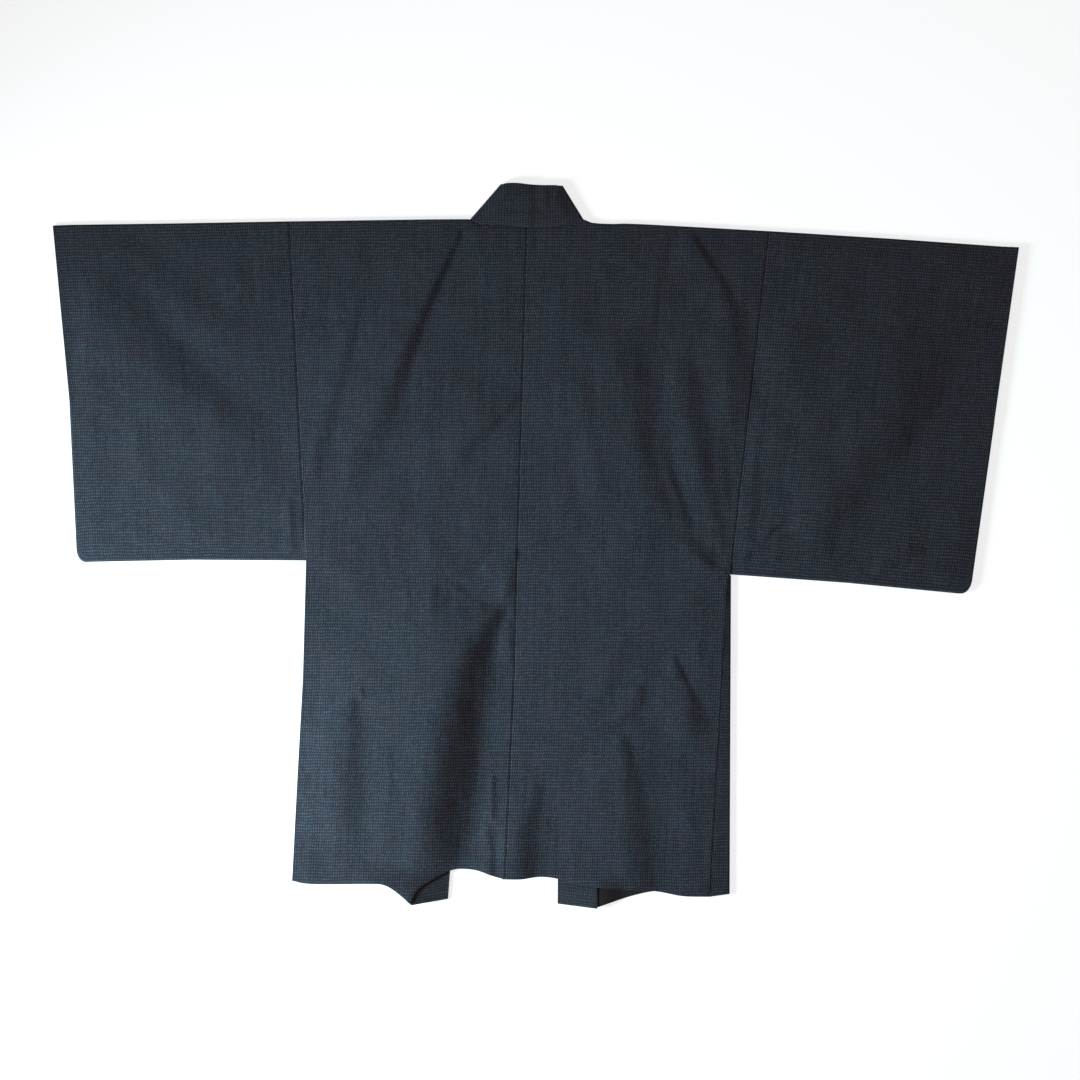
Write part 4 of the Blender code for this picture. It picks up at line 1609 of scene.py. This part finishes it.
def thread_group() -> bpy.types.NodeTree:
    """The plain weave itself: fine warp and weft threads, thick and thin.

    Returns:
        The group, with the threads' height and the shade of their ribs as its outputs.
    """
    tree, n, given, end = new_group(
        "plain_weave",
        (("Cloth", "NodeSocketVector", None), ("Pitch", "NodeSocketFloat", 0.0006)),
        (("Height", "NodeSocketFloat"), ("Shade", "NodeSocketFloat")),
    )
    parts = n.add("SeparateXYZ", {0: given["Cloth"]})
    heights = []
    for axis, other in (("X", "Y"), ("Y", "X")):
        turn = n.math("MULTIPLY", n.math("DIVIDE", parts.outputs[axis], given["Pitch"]), 2 * math.pi)
        across = n.math("MULTIPLY", parts.outputs[axis], THREAD_STRETCH[0])
        along = n.math("MULTIPLY", parts.outputs[other], THREAD_STRETCH[1])
        uneven = n.noise(n.pair(across, along), 1.0, 1.0)
        heights.append(n.math("MULTIPLY", n.math("SINE", turn), n.math("ADD", 0.4, uneven)))
    height = n.math("MULTIPLY", n.math("ADD", heights[0], heights[1]), 0.5)
    stretched = [n.math("MULTIPLY", parts.outputs[axis], by) for axis, by in zip("XY", RIB_STRETCH)]
    rib = n.noise(n.pair(*stretched), 1.0, 2.0)
    tree.links.new(height, end.inputs["Height"])
    tree.links.new(n.step(rib, 0.30, 0.70), end.inputs["Shade"])
    return tree


def tone_group() -> bpy.types.NodeTree:
    """Slow changes of tone and hue over the cloth, and a little fading on folded edges.

    Returns:
        The group, with a tone, a fading mask and a share of the second hue as its outputs.
    """
    tree, n, given, end = new_group(
        "cloth_tone",
        (
            ("Place", "NodeSocketVector", None),
            ("Patch Scale", "NodeSocketFloat", 7.0),
            ("Edge", "NodeSocketFloat", 0.0),
        ),
        (("Tone", "NodeSocketFloat"), ("Faded", "NodeSocketFloat"), ("Hue", "NodeSocketFloat")),
    )
    patches = n.add("TexNoise", {"Vector": given["Place"], "Scale": 34.0, "Detail": 2.0, "Roughness": 0.65})
    tree.links.new(n.step(patches.outputs[0], 0.38, 0.62), end.inputs["Hue"])
    broad_inputs = {"Scale": given["Patch Scale"], "Detail": 3.0, "Roughness": 0.6}
    broad = n.add("TexNoise", {"Vector": given["Place"], **broad_inputs})
    small = n.add("TexNoise", {"Vector": given["Place"], "Scale": 160.0, "Detail": 2.0})
    tree.links.new(n.step(broad.outputs[0], 0.28, 0.72), end.inputs["Tone"])
    worn = n.step(small.outputs[0], 0.38, 0.68)
    tree.links.new(n.math("MULTIPLY", given["Edge"], worn), end.inputs["Faded"])
    return tree


def new_material(name: str) -> tuple[bpy.types.Material, Nodes, bpy.types.Node]:
    """Starts a material.

    Args:
        name: Its name.

    Returns:
        The material, its nodes' helper and its surface shader.
    """
    material = bpy.data.materials.new(name)
    material.use_nodes = True
    return material, Nodes(material.node_tree), material.node_tree.nodes["Principled BSDF"]


@dataclass(frozen=True)
class WovenFinish:
    """The jacket's cloth: dark navy ground with fine grey-blue dashes, matt with a soft sheen.

    Args:
        name: The material's name.
        ground: The ground's colour.
        second_ground: The colour that it changes to in patches.
        dash: The dashes' colour.
        second_dash: The colour that they change to in patches.
        faded: The colour of worn edges.
        roughness: Roughness between the dashes and on them.
        sheen: How much of a sheen there is.
        dash_share: How strongly the dashes show.
        slub: How strongly the thick stretches of thread show.
    """

    name: str
    ground: tuple[float, float, float]
    second_ground: tuple[float, float, float]
    dash: tuple[float, float, float]
    second_dash: tuple[float, float, float]
    faded: tuple[float, float, float]
    roughness: tuple[float, float]
    sheen: float
    dash_share: float
    slub: float

    def make(self, groups: dict[str, bpy.types.NodeTree]) -> bpy.types.Material:
        """Builds the material.

        Args:
            groups: The shared effects by name.

        Returns:
            The material.
        """
        material, n, shader = new_material(self.name)
        tree = n.tree
        cloth = n.add("UVMap", uv_map="weave").outputs["UV"]
        place = n.add("TexCoord").outputs["Object"]
        edge = n.add("Attribute", attribute_name="fold_edge").outputs["Fac"]
        dashes = n.add("Group", node_tree=groups["dashes"])
        tree.links.new(cloth, dashes.inputs["Cloth"])
        dashes.inputs["Slub"].default_value = self.slub
        threads = n.add("Group", node_tree=groups["threads"])
        tree.links.new(cloth, threads.inputs["Cloth"])
        tones = n.add("Group", node_tree=groups["tones"])
        tree.links.new(place, tones.inputs["Place"])
        tree.links.new(edge, tones.inputs["Edge"])
        ground = n.mix(tones.outputs["Tone"], (*self.ground, 1.0), (*self.second_ground, 1.0))
        pale = n.mix(tones.outputs["Hue"], (*self.dash, 1.0), (*self.second_dash, 1.0))
        ribbed = n.mix(n.math("MULTIPLY", threads.outputs["Shade"], 0.16), ground, pale)
        dashed = n.mix(n.math("MULTIPLY", dashes.outputs["Dash"], self.dash_share), ribbed, pale)
        colour = n.mix(n.math("MULTIPLY", tones.outputs["Faded"], 0.35), dashed, (*self.faded, 1.0))
        tree.links.new(colour, shader.inputs["Base Color"])
        rough = n.step(dashes.outputs["Dash"], 0.0, 1.0, self.roughness[0], self.roughness[1])
        tree.links.new(rough, shader.inputs["Roughness"])
        fine = n.math("MULTIPLY", threads.outputs["Height"], 0.5)
        height = n.math("ADD", fine, n.math("MULTIPLY", dashes.outputs["Line"], 0.6))
        bump = n.add("Bump", {"Height": height, "Strength": 0.35, "Distance": 0.0003})
        tree.links.new(bump.outputs["Normal"], shader.inputs["Normal"])
        shader.inputs["Sheen Weight"].default_value = self.sheen
        shader.inputs["Sheen Roughness"].default_value = 0.5
        shader.inputs["Sheen Tint"].default_value = (0.62, 0.78, 1.0, 1.0)
        shader.inputs["Specular IOR Level"].default_value = 0.28
        return material


@dataclass(frozen=True)
class LiningFinish:
    """The plain charcoal inside of the cloth."""

    name: str = "lining_charcoal"
    dark: tuple[float, float, float] = (0.0260, 0.0250, 0.0280)
    light: tuple[float, float, float] = (0.0380, 0.0365, 0.0405)

    def make(self, groups: dict[str, bpy.types.NodeTree]) -> bpy.types.Material:
        """Builds the material.

        Args:
            groups: The shared effects by name.

        Returns:
            The material.
        """
        material, n, shader = new_material(self.name)
        tree = n.tree
        threads = n.add("Group", node_tree=groups["threads"])
        tree.links.new(n.add("UVMap", uv_map="weave").outputs["UV"], threads.inputs["Cloth"])
        tones = n.add("Group", node_tree=groups["tones"])
        tree.links.new(n.add("TexCoord").outputs["Object"], tones.inputs["Place"])
        colour = n.mix(tones.outputs["Tone"], (*self.dark, 1.0), (*self.light, 1.0))
        tree.links.new(colour, shader.inputs["Base Color"])
        tree.links.new(n.step(threads.outputs["Shade"], 0.0, 1.0, 0.48, 0.62), shader.inputs["Roughness"])
        bump = n.add("Bump", {"Height": threads.outputs["Height"], "Strength": 0.2, "Distance": 0.0002})
        tree.links.new(bump.outputs["Normal"], shader.inputs["Normal"])
        shader.inputs["Specular IOR Level"].default_value = 0.35
        return material


# ---------------------------------------------------------------------------------------------
# Studio
# ---------------------------------------------------------------------------------------------

@dataclass
class Studio:
    """A pale floor, one low cool light from the lower left, warm fill and the camera overhead.

    Args:
        view_width: How wide the camera's view is, in metres.
        camera_height: How high the camera hangs.
        camera_middle: What it looks down at.
        key_place: Where the low light stands.
        key_aim: What it is aimed at.
        key_size: How wide it is.
        key_power: Its power, in watts.
        key_spread: How wide it shines, in degrees.
        fill_strength: The strength of the fill from all round.
        floor_level: How far the floor is below the jacket.
    """

    view_width: float = 1.5444
    camera_height: float = 6.0
    camera_middle: tuple[float, float] = (0.0059, 0.0084)
    key_place: tuple[float, float, float] = (-1.85, -0.58, 0.52)
    key_aim: tuple[float, float, float] = (-0.25, -0.27, 0.0)
    key_size: float = 0.45
    key_power: float = 15.0
    key_spread: float = 80.0
    fill_strength: float = 0.124
    floor_level: float = -0.0002

    def build(self) -> None:
        """Makes the floor, the lights and the camera."""
        self.floor()
        self.lights()
        self.camera()
        scene = bpy.context.scene
        scene.view_settings.view_transform = "Standard"
        scene.view_settings.look = "None"
        LOG.info("studio: floor, key light, fill and camera")

    def floor(self) -> None:
        """The plain pale surface that the jacket lies on."""
        bm = bmesh.new()
        bmesh.ops.create_grid(bm, x_segments=1, y_segments=1, size=6.0)
        for vert in bm.verts:
            vert.co.z = self.floor_level
        mesh = bpy.data.meshes.new("floor")
        bm.to_mesh(mesh)
        bm.free()
        floor = add_object("floor", mesh)
        material, _, shader = new_material("pale_floor")
        shader.inputs["Base Color"].default_value = (0.86, 0.86, 0.86, 1.0)
        shader.inputs["Roughness"].default_value = 0.9
        shader.inputs["Emission Color"].default_value = (0.935, 1.0, 1.02, 1.0)
        shader.inputs["Emission Strength"].default_value = 0.75
        mesh.materials.append(material)

    def lights(self) -> None:
        """The key light and the even fill from all round."""
        data = bpy.data.lights.new("key", "AREA")
        data.shape = "DISK"
        data.size = self.key_size
        data.energy = self.key_power
        data.spread = math.radians(self.key_spread)
        data.color = (0.76, 1.0, 1.09)
        key = add_object("key", data)
        key.location = self.key_place
        aim = Vector(self.key_aim) - Vector(self.key_place)
        key.rotation_mode = "QUATERNION"
        key.rotation_quaternion = aim.to_track_quat("-Z", "Y")
        world = bpy.data.worlds.new("studio")
        bpy.context.scene.world = world
        world.use_nodes = True
        tree = world.node_tree
        n = Nodes(tree)
        shade = tree.nodes["Background"]
        shade.inputs["Color"].default_value = (1.50, 0.96, 0.80, 1.0)
        shade.inputs["Strength"].default_value = self.fill_strength
        seen = n.add("Background", {"Color": (0.92, 0.92, 0.92, 1.0), "Strength": 1.0})
        ray = n.add("LightPath")
        sides = {0: ray.outputs["Is Camera Ray"], 1: shade.outputs[0], 2: seen.outputs[0]}
        blend = n.add("MixShader", sides)
        tree.links.new(blend.outputs[0], tree.nodes["World Output"].inputs["Surface"])

    def camera(self) -> None:
        """The camera straight above, with the collar at the top of its view."""
        data = bpy.data.cameras.new("overhead")
        data.sensor_width = 36.0
        data.lens = data.sensor_width * self.camera_height / self.view_width
        camera = add_object("overhead", data)
        camera.location = (*self.camera_middle, self.camera_height)
        bpy.context.scene.camera = camera


NAVY = WovenFinish(
    name="navy_dashed_cloth",
    ground=(0.0120, 0.0138, 0.0184),
    second_ground=(0.0150, 0.0172, 0.0228),
    dash=(0.0815, 0.1155, 0.1620),
    second_dash=(0.0965, 0.1115, 0.1530),
    faded=(0.0480, 0.0560, 0.0680),
    roughness=(0.82, 0.70),
    sheen=0.12,
    dash_share=1.0,
    slub=0.25,
)
# The collar band's copy of the jacket's cloth. Its lower roughness and lesser sheen are for pressed cloth.
# Its ground and dashes are set apart from the body's as painted light, so that the band and its ends come
# out as bright as they look when lit.
NAVY_BAND_PAINTED_LIGHT = WovenFinish(
    name="navy_band_pressed_painted_light",
    ground=(0.0145, 0.0168, 0.0220),
    second_ground=(0.0180, 0.0205, 0.0262),
    dash=(0.0780, 0.1050, 0.1460),
    second_dash=(0.0890, 0.1020, 0.1400),
    faded=(0.0450, 0.0520, 0.0630),
    roughness=(0.78, 0.66),
    sheen=0.10,
    dash_share=0.95,
    slub=0.25,
)

BODY_CUT = Cut(0.345, 1.93, 0.515)
SLEEVE_CUT = Cut(0.345, 0.98)
GUSSET_CUT = Cut(0.057, 0.455, 0.0148)
BAND_CUT = Cut(0.057, 2.16)


def main() -> None:
    """Builds the jacket piece by piece, dresses it and sets up the studio."""
    logging.basicConfig(level=logging.INFO, format="%(name)s: %(message)s", force=True)
    groups = {"dashes": dash_group(), "threads": thread_group(), "tones": tone_group()}
    cloth, band = NAVY.make(groups), NAVY_BAND_PAINTED_LIGHT.make(groups)
    lining = LiningFinish().make(groups)
    pieces = (
        BodyPiece("body_left", Slot.CLOTH, BODY_CUT, "laid", ("collar", "gusset_left"), LEFT),
        BodyPiece("body_right", Slot.CLOTH, BODY_CUT, "laid", ("collar",), RIGHT),
        Sleeve("sleeve_left", Slot.CLOTH, SLEEVE_CUT, "folded", (), LEFT),
        Sleeve("sleeve_right", Slot.CLOTH, SLEEVE_CUT, "folded", (), RIGHT),
        Gusset("gusset_left", Slot.CLOTH, GUSSET_CUT, "folded", ("body_left",), LEFT),
        Gusset("gusset_right", Slot.CLOTH, GUSSET_CUT, "folded", (), RIGHT),
        CollarBand("collar", Slot.COLLAR, BAND_CUT, "folded", ()),
    )
    for piece in pieces:
        outer = band if piece.slot is Slot.COLLAR else cloth
        piece.dress(piece.build(), (outer, lining))
    Studio().build()


if __name__ == "__main__":
    main()
